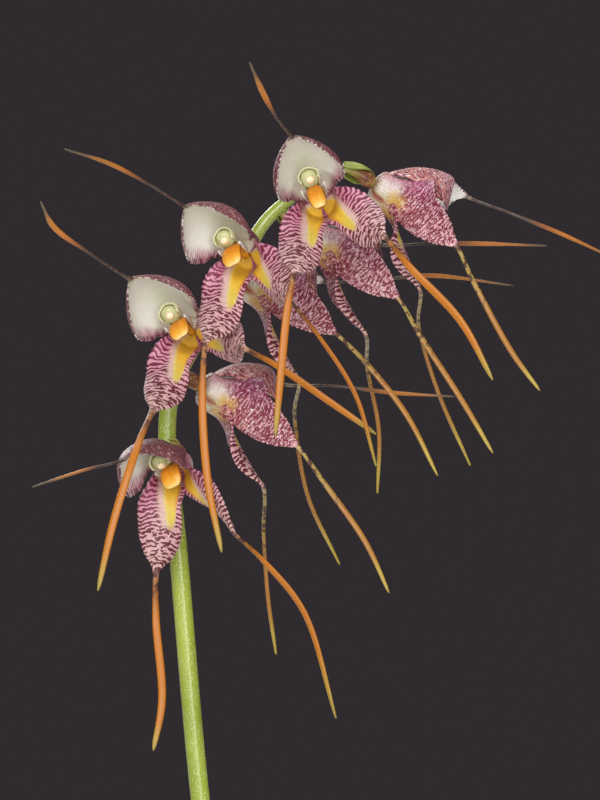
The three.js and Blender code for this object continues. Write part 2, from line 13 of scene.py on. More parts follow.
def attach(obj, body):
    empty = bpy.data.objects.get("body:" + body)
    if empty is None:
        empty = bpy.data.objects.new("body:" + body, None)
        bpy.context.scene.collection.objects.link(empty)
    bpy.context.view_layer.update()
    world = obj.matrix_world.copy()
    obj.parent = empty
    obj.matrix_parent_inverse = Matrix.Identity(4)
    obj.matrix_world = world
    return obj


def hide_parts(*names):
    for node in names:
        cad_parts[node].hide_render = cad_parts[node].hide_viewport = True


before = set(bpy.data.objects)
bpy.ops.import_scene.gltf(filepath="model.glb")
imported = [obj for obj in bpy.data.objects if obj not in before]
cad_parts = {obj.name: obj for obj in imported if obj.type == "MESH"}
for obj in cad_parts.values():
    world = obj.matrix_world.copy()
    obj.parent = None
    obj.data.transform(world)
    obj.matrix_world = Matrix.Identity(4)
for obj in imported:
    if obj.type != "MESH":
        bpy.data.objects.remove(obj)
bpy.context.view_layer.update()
print("frame loaded")

mm = 0.001


# Numbers and curves


def smooth(low, high, value):
    t = np.clip((np.asarray(value, float) - low) / (high - low), 0.0, 1.0)
    return t * t * (3 - 2 * t)


def readLine(pairs, at):
    # a value read off [place, value] pairs along a smooth line through them
    i = 0
    while i < len(pairs) - 2 and at > pairs[i + 1][0]:
        i += 1

    def slope(k):
        a, b = pairs[max(k - 1, 0)], pairs[min(k + 1, len(pairs) - 1)]
        return (b[1] - a[1]) / (b[0] - a[0])

    (x0, y0), (x1, y1) = pairs[i], pairs[i + 1]
    span = x1 - x0
    t = min(max((at - x0) / span, 0.0), 1.0)
    rise = (3 - 2 * t) * t * t
    return (
        y0
        + (y1 - y0) * rise
        + (t - 2 * t * t + t**3) * span * slope(i)
        + (t**3 - t * t) * span * slope(i + 1)
    )


def pointOnCurve(points, at):
    # at counts points: 0 is the first and 1.5 lies halfway between the second and third
    last = len(points) - 1
    i = min(int(at), last - 1)
    weight = at - i
    p1, p2 = points[i], points[i + 1]
    p0 = points[i - 1] if i > 0 else 2 * p1 - p2
    p3 = points[i + 2] if i + 2 <= last else 2 * p2 - p1
    d0, d1, d2 = (max(np.dot(b - a, b - a), 1e-8) ** 0.25 for a, b in ((p0, p1), (p1, p2), (p2, p3)))
    t1 = ((p1 - p0) / d0 - (p2 - p0) / (d0 + d1) + (p2 - p1) / d1) * d1
    t2 = ((p2 - p1) / d1 - (p3 - p1) / (d1 + d2) + (p3 - p2) / d2) * d1
    w = weight
    return (
        p1
        + t1 * w
        + (3 * (p2 - p1) - 2 * t1 - t2) * w * w
        + (2 * (p1 - p2) + t1 + t2) * w**3
    )


def evenCurve(points, count):
    # points at even distances along the curve
    points = [np.array(p, float) for p in points]
    fineSteps = 600
    places = np.linspace(0, len(points) - 1, fineSteps + 1)
    fine = np.array([pointOnCurve(points, at) for at in places])
    steps = np.linalg.norm(np.diff(fine, axis=0), axis=1)
    travel = np.concatenate([[0], np.cumsum(steps)])
    wanted = np.linspace(0, travel[-1], count)
    return np.stack([np.interp(wanted, travel, fine[:, k]) for k in range(3)], axis=1)


def unit(v):
    return v / max(np.linalg.norm(v), 1e-9)


def sidesAlong(line, first):
    # a direction square to the line at each of its points, carried along without twisting
    tangents = np.gradient(line, axis=0)
    sides = []
    side = np.array(first, float)
    for tangent in tangents:
        tangent = unit(tangent)
        side = unit(side - tangent * np.dot(side, tangent))
        sides.append(side)
    return np.array(sides), np.array([unit(t) for t in tangents])


# Materials


def colourOf(code):
    parts = [int(code[k : k + 2], 16) / 255 for k in (1, 3, 5)]
    return tuple([p / 12.92 if p <= 0.04045 else ((p + 0.055) / 1.055) ** 2.4 for p in parts] + [1.0])


class Wire:
    # a socket of a material, so that shader maths can be written as sums
    def __init__(self, recipe, socket):
        self.recipe = recipe
        self.socket = socket

    def maths(self, operation, *values):
        return self.recipe.node("ShaderNodeMath", {"operation": operation}, values)

    def __add__(self, other):
        return self.maths("ADD", self, other)

    def __radd__(self, other):
        return self.maths("ADD", other, self)

    def __sub__(self, other):
        return self.maths("SUBTRACT", self, other)

    def __rsub__(self, other):
        return self.maths("SUBTRACT", other, self)

    def __mul__(self, other):
        return self.maths("MULTIPLY", self, other)

    def __rmul__(self, other):
        return self.maths("MULTIPLY", other, self)

    def __truediv__(self, other):
        return self.maths("DIVIDE", self, other)

    def __abs__(self):
        return self.maths("ABSOLUTE", self)

    def sine(self):
        return self.maths("SINE", self)

    def most(self, other):
        return self.maths("MAXIMUM", self, other)

    def between(self, low, high):
        # 0 at low and 1 at high, with a soft start and end; low may be the larger
        settings = {"interpolation_type": "SMOOTHSTEP"}
        return self.recipe.node("ShaderNodeMapRange", settings, {0: self, 1: low, 2: high})

    def ramp(self, stops):
        return self.recipe.node("ShaderNodeValToRGB", {"stops": stops}, [self])


class Recipe:
    # one material under construction
    def __init__(self, name):
        self.material = bpy.data.materials.new(name)
        self.material.use_nodes = True
        self.tree = self.material.node_tree
        self.tree.nodes.clear()
        self.output = self.tree.nodes.new("ShaderNodeOutputMaterial")

    def node(self, kind, settings=None, values=(), output=0):
        made = self.tree.nodes.new(kind)
        for key, value in (settings or {}).items():
            if key == "stops":
                ends = made.color_ramp.elements
                for element, (place, colour) in zip(ends, (value[0], value[-1])):
                    element.position, element.color = place, colourOf(colour)
                for place, colour in value[1:-1]:
                    ends.new(place).color = colourOf(colour)
            else:
                setattr(made, key, value)
        pairs = values.items() if isinstance(values, dict) else enumerate(values)
        for key, value in pairs:
            socket = made.inputs[key]
            if isinstance(value, Wire):
                self.tree.links.new(value.socket, socket)
            else:
                socket.default_value = value
        return Wire(self, made.outputs[output])

    def attribute(self, name):
        return self.node("ShaderNodeAttribute", {"attribute_name": name}, output="Fac")

    def vector(self, x, y, z):
        return self.node("ShaderNodeCombineXYZ", None, [x, y, z])

    def place(self):
        return self.node("ShaderNodeTexCoord", output="Object")

    def stretched(self, vector, factors):
        return self.node("ShaderNodeVectorMath", {"operation": "MULTIPLY"}, [vector, factors])

    def noise(self, vector, scale, detail, roughness=0.5, distortion=0.0):
        names = ("Vector", "Scale", "Detail", "Roughness", "Distortion")
        values = dict(zip(names, (vector, scale, detail, roughness, distortion)))
        return self.node("ShaderNodeTexNoise", None, values)

    def cells(self, vector, scale):
        return self.node("ShaderNodeTexVoronoi", None, {"Vector": vector, "Scale": scale}, "Distance")

    def mix(self, share, first, second):
        settings = {"data_type": "RGBA", "clamp_factor": True}
        first, second = (colourOf(c) if isinstance(c, str) else c for c in (first, second))
        return self.node("ShaderNodeMix", settings, {0: share, 6: first, 7: second}, output=2)

    def shade(self, share, colour, factor):
        # the colour multiplied by a grey of the given factor where share is 1; it paints shade onto the tails
        grey = (factor, factor, factor, 1.0)
        settings = {"data_type": "RGBA", "blend_type": "MULTIPLY", "clamp_factor": True}
        return self.node("ShaderNodeMix", settings, {0: share, 6: colour, 7: grey}, output=2)

    def bump(self, height, strength, distance):
        values = {"Strength": strength, "Distance": distance, "Height": height}
        return self.node("ShaderNodeBump", None, values)

    def finish(self, colour, roughness, relief=None, more=None):
        # relief: height, strength and distance of the bump
        values = {"Base Color": colour, "Roughness": roughness, **(more or {})}
        if relief:
            values["Normal"] = self.bump(*relief)
        shader = self.node("ShaderNodeBsdfPrincipled", None, values)
        self.tree.links.new(shader.socket, self.output.inputs["Surface"])
        return self.material


def flesh(weight, radius, scale):
    # how far light goes in under the skin
    return {"Subsurface Weight": weight, "Subsurface Radius": radius, "Subsurface Scale": scale}


# Meshes


def addPiece(name, points, faces, materials, replaced, picks=None, attributes=None):
    # points in millimetres in the plant's own frame
    mesh = bpy.data.meshes.new(name)
    mesh.from_pydata((np.asarray(points) * mm).tolist(), [], [list(f) for f in faces])
    for material in materials:
        mesh.materials.append(material)
    if picks is not None:
        mesh.polygons.foreach_set("material_index", np.asarray(picks, dtype=np.int32))
    mesh.polygons.foreach_set("use_smooth", np.ones(len(mesh.polygons), dtype=bool))
    for key, values in (attributes or {}).items():
        layer = mesh.attributes.new(key, "FLOAT", "POINT")
        layer.data.foreach_set("value", np.asarray(values, dtype=np.float32).ravel())
    piece = bpy.data.objects.new(name, mesh)
    bpy.context.scene.collection.objects.link(piece)
    tidy = bmesh.new()
    tidy.from_mesh(mesh)
    bmesh.ops.recalc_face_normals(tidy, faces=tidy.faces)
    tidy.to_mesh(mesh)
    tidy.free()
    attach(piece, "root")
    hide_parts(*replaced)
    return piece


def sheetFaces(rows, columns):
    # a thin closed body between two grids: quads of the front, the back and the rim, with their sides
    def front(i, j):
        return i * columns + j

    def back(i, j):
        return (rows + i) * columns + j

    faces, sides = [], []
    for i in range(rows - 1):
        for j in range(columns - 1):
            faces.append((front(i, j), front(i, j + 1), front(i + 1, j + 1), front(i + 1, j)))
            faces.append((back(i, j), back(i + 1, j), back(i + 1, j + 1), back(i, j + 1)))
            sides += [0, 1]
        faces.append((front(i, 0), front(i + 1, 0), back(i + 1, 0), back(i, 0)))
        last = columns - 1
        faces.append((front(i + 1, last), front(i, last), back(i, last), back(i + 1, last)))
        sides += [0, 0]
    for j in range(columns - 1):
        end = rows - 1
        faces.append((front(0, j + 1), front(0, j), back(0, j), back(0, j + 1)))
        faces.append((front(end, j), front(end, j + 1), back(end, j + 1), back(end, j)))
        sides += [1, 0]
    return faces, sides


def gridNormals(grid):
    along = np.gradient(grid, axis=0)
    across = np.gradient(grid, axis=1)
    normals = np.cross(across, along)
    return normals / np.maximum(np.linalg.norm(normals, axis=2, keepdims=True), 1e-9)


def tubeGrid(line, first, radii, sides, ribs=0, ribDepth=0.0):
    arms, tangents = sidesAlong(line, first)
    rings = []
    for centre, arm, tangent, radius in zip(line, arms, tangents, radii):
        other = np.cross(tangent, arm)
        ring = []
        for j in range(sides):
            angle = 2 * math.pi * j / sides
            r = radius * (1 + ribDepth * math.cos(ribs * angle)) if ribs else radius
            ring.append(centre + arm * math.cos(angle) * r + other * math.sin(angle) * r)
        rings.append(ring)
    return np.array(rings)


def tubeFaces(rows, sides):
    # the faces between rings of points, and then its two ends
    faces = []
    for i in range(rows - 1):
        for j in range(sides):
            a, b = i * sides + j, i * sides + (j + 1) % sides
            faces.append((a, b, b + sides, a + sides))
    return faces + [tuple(reversed(range(sides))), tuple(range((rows - 1) * sides, rows * sides))]


def perRow(values, columns):
    # one value for each row of a sheet, on both its sides
    return np.tile(np.repeat(values, columns), 2)


def perColumn(values, rows):
    return np.tile(np.asarray(values), 2 * rows)


class Heap:
    # several bodies gathered into one piece
    def __init__(self):
        self.points, self.faces, self.picks, self.layers = [], [], [], {}

    def add(self, points, faces, pick=0, **layers):
        points = np.asarray(points, float).reshape(-1, 3)
        start = len(self.points)
        self.points.extend(points)
        self.faces.extend(tuple(start + k for k in face) for face in faces)
        self.picks.extend([pick] * len(faces) if isinstance(pick, int) else pick)
        for key, values in layers.items():
            held = self.layers.setdefault(key, [])
            held.extend([0.0] * (start - len(held)))
            held.extend(np.broadcast_to(values, (len(points),)).astype(float))

    def piece(self, name, materials, finish, replaced):
        for held in self.layers.values():
            held.extend([0.0] * (len(self.points) - len(held)))
        addPiece(name, self.points, self.faces, materials, replaced, self.picks, self.layers)


# Sepals: profiles along a blade as [share of its length, value]. bend is the angle between the blade and
# the way the flower faces, curl how far each half bends round, in degrees, and depth how much deeper its
# hollow is than a round one.

hoodShape = {
    "length": 15.6,
    "bend": [[0, 60], [0.15, 55], [0.3, 40], [0.5, 28], [0.75, 14], [1, 0]],
    "width": [
        [0, 6.4], [0.1, 10], [0.2, 12.5], [0.32, 14.8], [0.45, 17.1], [0.56, 17.8], [0.66, 16], [0.78, 10.6],
        [0.88, 5], [0.95, 2], [1, 0.9],
    ],
    "curl": [
        [0, 80], [0.12, 90], [0.3, 96], [0.5, 96], [0.66, 94], [0.78, 84], [0.88, 62], [0.95, 40], [1, 10],
    ],
    "depth": [[0, 1], [0.12, 1.3], [0.2, 1.4], [0.35, 1.26], [0.5, 1.14], [0.66, 1.0], [0.78, 0.95], [1, 1]],
    "skew": [[0, 0], [1, 0]],
    "scallop": 0.012,
    "tail": "hood",
}
lowerShape = {
    "length": 15.3,
    "bend": [[0, 8], [0.15, 16], [0.32, 44], [0.7, 44], [1, 34]],
    "width": [
        [0, 6.6], [0.15, 6.4], [0.32, 6.4], [0.5, 7.1], [0.68, 6.8], [0.84, 4.5], [0.93, 2.3], [1, 1.1],
    ],
    "curl": [[0, 72], [0.15, 58], [0.32, 10], [0.5, -36], [0.68, -46], [0.86, -38], [0.95, -18], [1, -6]],
    "depth": [[0, 1], [1, 1]],
    "skew": [[0, 0], [0.15, 0.2], [0.32, 0.36], [0.5, 0.2], [0.7, 0.04], [1, 0]],
    "scallop": 0.022,
    "tail": "lower",
}
sepalSettings = {
    "rootRadius": 2.6,
    "rootDepth": -4.3,
    "bowl": [[0, 0.12, -5.62], [0.35, 1.3, -5.45], [0.75, 2.35, -4.95], [1, 2.6, -4.3]],
    "bowlShare": 0.2,  # the bowl's length as a share of a blade
    "bowlFade": 0.2,  # where on the blade the round cup ends
    "twistAlong": [[0, 0], [0.25, 0.3], [0.5, 0.85], [0.75, 1], [1, 0.85]],
    "thickness": [[-0.2, 0.6], [0.1, 0.5], [0.7, 0.42], [1, 0.6]],
    "rimThickness": 0.45,
    "scallopPitch": 0.74,
    # the back rank is seen from the side, where its hoods are fuller and its near sepals reach up to them
    "backHoodSkew": [[0, 0], [0.12, -0.15], [0.3, -0.25], [0.55, -0.25], [0.7, 0.1], [0.85, 0.6], [1, 0]],
    "backHoodWidth": [
        [0, 6.4], [0.12, 12.6], [0.2, 16.2], [0.32, 17.6], [0.42, 17.4], [0.54, 16.2], [0.66, 14], [0.78, 9],
        [0.88, 4.2], [0.95, 2], [1, 0.9],
    ],
    "nearWidth": [
        [0, 6.6], [0.1, 7.6], [0.25, 8.4], [0.4, 7.8], [0.5, 7.2], [0.68, 6.5], [0.84, 4.4], [0.93, 2.3],
        [1, 1.1],
    ],
    "nearSkew": [[0, 0], [0.1, 0.32], [0.25, 0.45], [0.4, 0.34], [0.5, 0.2], [0.7, 0.04], [1, 0]],
    "bendSteps": 4,
    "bladeRows": 56,
    "bowlRows": 9,
    "tailRows": 60,
    "tailTurnEnd": 0.4,  # as a share of the tail
    "columns": 25,
}
tailShape = {
    "hood": {
        "width": [
            [0, 0.9], [0.05, 0.6], [0.15, 0.45], [0.4, 0.5], [0.55, 0.85], [0.72, 0.85], [0.84, 0.5],
            [0.97, 0.35], [1, 0.15],
        ],
        "thickness": [[0, 0.5], [0.3, 0.42], [0.55, 0.46], [0.85, 0.36], [1, 0.2]],
    },
    "lower": {
        "width": [
            [0, 1.1], [0.08, 0.85], [0.16, 0.88], [0.4, 1.18], [0.7, 1.15], [0.9, 0.85], [0.97, 0.6],
            [1, 0.2],
        ],
        "thickness": [[0, 0.6], [0.3, 0.5], [0.55, 0.58], [0.85, 0.56], [1, 0.3]],
    },
    "backRank": {"hood": 0.85, "lower": 0.7},  # how wide its tails are beside the front rank's
}

# turn, tilt and roll are in degrees. spread is the angle of the left and right sepals from straight down,
# and twist how far each is turned about its own middle line. lipLift turns a lip up, in degrees, a Shift
# moves something to the flower's right, and a Growth makes it larger.
flowers = [
    {
        "place": [-12.5, -9.5, 253.1], "turn": -10, "tilt": -31, "roll": 28,
        "spread": [38, 38], "twist": [12, 38], "node": [-12.9, 0, 259], "tone": 0,
        "lipLift": 12, "lipGrowth": 1.35, "lipShift": 1.6, "columnShift": 0.9, "bractGrowth": 0.4,
        "hoodTail": [[-25, -23.5, 254.6], [-33, -28.5, 252]],
        "leftTail": [[-14.6, -12, 232], [-13.7, -12, 220], [-15, -13, 212.4]],
        "rightTail": [[1.6, -13.5, 240.8], [7.6, -14.5, 233.2], [12.4, -16.5, 217.3]],
    },
    {
        "place": [-10.3, -9.1, 274.9], "turn": -15, "tilt": -3, "roll": 33,
        "spread": [48, 48], "twist": [5, 5], "node": [-10.6, 0, 270], "tone": 0,
        "lipGrowth": 1.3, "lipShift": 0.3, "hoodGrowth": 1.07,
        "hoodTail": [[-24.2, -26, 286.8], [-29.8, -30, 290.9], [-31.7, -32, 294.6]],
        "leftTail": [[-17.5, -26, 257.5], [-20.8, -28.5, 247], [-23.2, -29, 236.5]],
        "rightTail": [[3.3, -17, 270.3], [11.5, -17.5, 264.7], [18.4, -19, 259.9]],
    },
    {
        "place": [-2.3, -16, 286.1], "turn": -19, "tilt": -9, "roll": 25,
        "spread": [40, 40], "twist": [5, 5], "node": [-3.2, 0, 282.8], "tone": 0,
        "lipGrowth": 1.3, "lipShift": 0.3, "hoodGrowth": 1.07,
        "hoodTail": [[-15.5, -28.5, 297.2], [-21.5, -33.5, 300.3], [-28.1, -37.5, 302.4]],
        "leftTail": [[-7.6, -23, 265], [-6.8, -24, 253], [-4.7, -25.5, 242.2]],
        "rightTail": [[10, -20, 274.3], [15.3, -21, 265.8], [18.4, -21.5, 255.1]],
    },
    {
        "place": [9.8, -18, 294.8], "turn": -2, "tilt": 2, "roll": 22,
        "spread": [39, 39], "twist": [4, 4], "node": [7.6, 0.2, 297], "tone": 0,
        "hoodTail": [[3.4, -33, 307.3], [1.3, -38, 311.2], [-0.5, -41, 315.3]],
        "leftTail": [[5.1, -27.3, 278.5], [4.2, -28, 269.5], [3.3, -28.5, 259.6]],
        "rightTail": [[23.5, -24, 284.8], [31, -26.5, 276.8], [35.8, -28, 268]],
    },
    {
        "place": [22.8, 3, 294.5], "turn": 102, "tilt": -32, "roll": -46,
        "spread": [32, 19], "twist": [20, 52], "node": [13.4, 1, 300], "tone": 1,
        "bractGrowth": 1,
        "hoodTail": [[38.5, 4, 293.2], [46, 6, 290.2], [55.8, 9, 285.7]],
        "leftTail": [[33.3, -5, 282.3], [38.8, -7, 272.2], [43, -8.5, 266.4]],
        "rightTail": [[25, 11, 275.5], [28, 12, 265.8], [32.7, 13, 255.1]],
    },
    {
        "place": [12.4, 4.5, 287.2], "turn": 114, "tilt": -30, "roll": -49,
        "spread": [25, 15], "twist": [20, 52], "node": [3.8, 0, 293.8], "tone": 1,
        "hoodTail": [[26.5, 10, 288.6], [34, 13, 288.6], [44.4, 17, 288.3]],
        "leftTail": [[25, -2, 274.8], [31.3, -3.2, 265], [36, -4.5, 257]],
        "rightTail": [[17.2, 13.5, 269.5], [18.9, 15, 260.5], [18.7, 16, 250.9]],
    },
    {
        "place": [2.8, 6.5, 280.9], "turn": 111, "tilt": -28, "roll": -46,
        "spread": [32, 18], "twist": [22, 52], "node": [-4.4, 0, 280.6], "tone": 1,
        "hoodTail": [[19, 15, 283.2], [27, 18, 283.8], [39.3, 22, 282.3]],
        "leftTail": [[16.8, 0, 270.7], [23, -1.2, 262.8], [27.7, -3, 253.6]],
        "rightTail": [[6.2, 16.4, 262], [8.2, 18, 250.5], [13, 20, 240.1]],
    },
    {
        "place": [-3.1, 4.5, 264.6], "turn": 113, "tilt": -25, "roll": -44,
        "spread": [29, 17], "twist": [22, 52], "node": [-12.4, 0, 264.6], "tone": 1,
        "hoodTail": [[12.5, 7.4, 267.1], [21, 8.2, 266.1], [30.3, 8.6, 265.5]],
        "leftTail": [[10.8, -2, 252.3], [16.8, -3.3, 243.7], [20.4, -5, 236]],
        "rightTail": [[1.5, 10, 244.8], [2.2, 11, 235], [3.4, 12, 226.6]],
    },
]


def flowerFrame(flower):
    # columns are the flower's right, top and facing directions, and its place
    a, b, c = (math.radians(flower[key]) for key in ("turn", "tilt", "roll"))
    facing = np.array([math.sin(a) * math.cos(b), -math.cos(a) * math.cos(b), math.sin(b)])
    level = unit(np.cross([0, 0, 1], facing))
    top = np.cross(facing, level)
    right = level * math.cos(c) + top * math.sin(c)
    up = top * math.cos(c) - level * math.sin(c)
    return np.stack([right, up, facing], axis=1), np.array(flower["place"], float)


def toPlant(points, flower):
    turned, place = flowerFrame(flower)
    return np.asarray(points, float) @ turned.T + place


def toFlower(points, flower):
    turned, place = flowerFrame(flower)
    return (np.asarray(points, float) - place) @ turned


def turnedAbout(vector, axis, angle):
    c, s = math.cos(angle), math.sin(angle)
    return vector * c + np.cross(axis, vector) * s + axis * np.dot(axis, vector) * (1 - c)


def sepalGrid(shape, around, hand, twist, tailPoints, halfBack, halfHood, tailWidth, tailTurn):
    # halfBack and halfHood: how far the sepal's foot reaches round the cup on either side, in radians
    s = sepalSettings
    facing = np.array([0, 0, 1.0])
    out = np.array([math.sin(around), math.cos(around), 0])
    edges = np.linspace(-1, 1, s["columns"])
    edges = np.sign(edges) * np.abs(edges) ** 0.85
    rows, facts = [], []

    def ring(radius, height):
        # hand turns the hood's side of a lower sepal to the right way round the cup
        angles = [around + e * (halfHood if e * hand > 0 else halfBack) for e in edges]
        return np.array([[radius * math.sin(a), radius * math.cos(a), height] for a in angles])

    for k in range(s["bowlRows"]):
        q = k / s["bowlRows"]
        radius = readLine([[r[0], r[1]] for r in s["bowl"]], q)
        height = readLine([[r[0], r[2]] for r in s["bowl"]], q)
        share = (q - 1) * s["bowlShare"]
        rows.append(ring(radius, height))
        facts.append((share, share * shape["length"], edges * radius * 1.2, edges))

    centre = out * s["rootRadius"] + facing * s["rootDepth"]
    last = 0.0
    for k in range(s["bladeRows"] + 1):
        share = k / s["bladeRows"]
        for n in range(s["bendSteps"]):
            angle = math.radians(readLine(shape["bend"], last + (share - last) * (n + 0.5) / s["bendSteps"]))
            step = (share - last) * shape["length"] / s["bendSteps"]
            centre = centre + (out * math.sin(angle) + facing * math.cos(angle)) * step
        last = share
        angle = math.radians(readLine(shape["bend"], share))
        along = out * math.sin(angle) + facing * math.cos(angle)
        inward = -out * math.cos(angle) + facing * math.sin(angle)
        turned = math.radians(-hand * twist * readLine(s["twistAlong"], share))
        inward = turnedAbout(inward, along, turned)
        side = np.cross(along, inward)
        curl = math.radians(readLine(shape["curl"], share))
        width = readLine(shape["width"], share)
        skew = readLine(shape["skew"], share)
        bow = width / 2 / curl
        ripple = math.sin(2 * math.pi * share * shape["length"] / s["scallopPitch"])
        reach = edges * (1 + shape["scallop"] * ripple * np.abs(edges) ** 6)
        t = reach * (1 + hand * reach * skew) * curl
        deep = (1 - np.cos(t)) * bow * readLine(shape["depth"], share)
        row = centre + np.outer(np.sin(t) * bow, side) + np.outer(deep, inward)
        fade = float(smooth(0, s["bowlFade"], share))
        if fade < 1:
            radius = math.hypot(centre[0], centre[1])
            row = ring(radius, centre[2]) * (1 - fade) + row * fade
        rows.append(row)
        facts.append((share, share * shape["length"], t * bow, edges))

    tip = centre.copy()
    points = [tip - along * 2, tip] + [np.array(p, float) for p in tailPoints]
    travel = shape["length"]
    before = tip
    for k in range(1, s["tailRows"] + 1):
        share = k / s["tailRows"]
        here = pointOnCurve(points, 1 + share * len(tailPoints))
        ahead = pointOnCurve(points, min(1 + share * len(tailPoints) + 0.01, len(points) - 1))
        behind = pointOnCurve(points, 1 + share * len(tailPoints) - 0.01)
        along = unit(ahead - behind)
        inward = unit(inward - along * np.dot(inward, along))
        if share < s["tailTurnEnd"]:
            turn = math.radians(hand * tailTurn) / (s["tailTurnEnd"] * s["tailRows"])
            inward = turnedAbout(inward, along, turn)
        side = np.cross(along, inward)
        width = readLine(tailShape[shape["tail"]]["width"], share) * tailWidth
        rows.append(here + np.outer(edges * width / 2, side))
        travel += float(np.linalg.norm(here - before))
        before = here
        facts.append((1 + share, travel, edges * width / 2, edges))
    return np.array(rows), facts


def makeSepal(name, node, shape, flower, index, around, hand, twist, tailKey, halfBack, halfHood, materials):
    s = sepalSettings
    if shape is hoodShape:
        shape = dict(shape, length=shape["length"] * flower.get("hoodGrowth", 1))
        if flower["tone"]:
            shape.update(skew=s["backHoodSkew"], width=s["backHoodWidth"])
    elif flower["tone"] and hand == 1:
        shape = dict(shape, skew=s["nearSkew"], width=s["nearWidth"])
    tail = toFlower(flower[tailKey], flower)
    tailWidth = tailShape["backRank"][shape["tail"]] if flower["tone"] else 1
    tailTurn = 0 if flower["tone"] else twist * 0.85  # a turned sepal's tail turns back to the front
    grid, facts = sepalGrid(shape, around, hand, twist, tail, halfBack, halfHood, tailWidth, tailTurn)
    normals = gridNormals(grid)
    upBlade = s["bowlRows"] + 20
    if np.dot(normals[upBlade, s["columns"] // 2], [0, 0, 1]) < 0:
        normals = -normals
    rows, columns = grid.shape[:2]
    half = np.zeros((rows, columns))
    edges = facts[0][3]
    for i, (share, _, _, _) in enumerate(facts):
        if share <= 1:
            thick = readLine(s["thickness"], share)
            across = 1 - (1 - s["rimThickness"]) * np.abs(edges) ** 4
            strap = float(smooth(0.86, 1, share))
            across = across * (1 - strap) + np.sqrt(np.clip(1.04 - edges**2, 0, 1)) * strap
        else:
            thick = readLine(tailShape[shape["tail"]]["thickness"], share - 1)
            across = np.sqrt(np.clip(1.04 - edges**2, 0, 1))
        half[i] = thick * across / 2
    front = toPlant((grid + normals * half[..., None]).reshape(-1, 3), flower)
    back = toPlant((grid - normals * half[..., None]).reshape(-1, 3), flower)
    faces, sides = sheetFaces(rows, columns)
    side = np.concatenate([f[2] for f in facts])
    edge = np.concatenate([f[3] for f in facts])
    layers = {
        "share": perRow([f[0] for f in facts], columns),
        "down": perRow([f[1] for f in facts], columns),
        "side": np.tile(side, 2) * hand,
        "edge": np.tile(edge, 2) * hand,
        "tone": np.full(2 * len(side), float(flower["tone"])),
        "seed": np.full(2 * len(side), index * 3.7 + around * 1.3),
    }
    points = np.concatenate([front, back])
    addPiece(name, points, faces, materials, [node], sides, layers)


# What the looks of all sepals share


def sepalBasics(recipe):
    names = ("share", "down", "side", "edge", "tone", "seed")
    return [recipe.attribute(name) for name in names]


def tailColour(r, share, down, side, edge, tone, seed, hood):
    # colours along a tail, with painted shade in its middle and at its edges; its share runs from 1 at the
    # blade to 2 at the tip
    flecks = r.noise(r.vector(side * 1.6, down * 1.1, seed), 1.0, 1.0, 0.5)
    half = (share - tone * 0.09) * 0.5 if hood else share * 0.5
    if hood:
        stops = [(0.5, "#8d7d66"), (0.53, "#4d423c"), (0.68, "#4f4038"), (0.74, "#925626"), (0.8, "#b56e24")]
        ground = half.ramp(stops + [(0.88, "#a0662a"), (0.93, "#665038"), (1, "#554a3c")])
        reach = share.between(1.5, 1.2)
    else:
        stops = [(0.5, "#b98a74"), (0.53, "#a07048"), (0.58, "#9a5c18"), (0.66, "#ba6c08"), (0.9, "#b86e0c")]
        warm = half.ramp(stops + [(0.96, "#ac8a2c"), (1, "#988438")])
        stops = [(0.5, "#c0a074"), (0.56, "#a89250"), (0.64, "#a08440"), (0.74, "#a8702a"), (0.88, "#a67228")]
        olive = half.ramp(stops + [(0.94, "#b2983a"), (1, "#aa9438")])
        ground = r.mix(tone, warm, olive)
        reach = share.between(1.26 + tone * 0.3, 1.1 + tone * 0.2)
    spots = flecks.between(0.48, 0.54) * reach
    spotted = r.mix(spots * 0.88, ground, "#43201c")
    # painted shade: the middle of the tail is darkened, as if shade lay in a groove there
    channelShade = abs(edge).between(0.3, 0.0) * share.between(1.1, 1.3)
    shaded = r.shade(channelShade * 0.4, spotted, 0.82)
    # painted shade: the tail's rounded edges are darkened
    return r.shade(abs(edge).between(0.7, 1.0) * 0.5, shaded, 0.62)


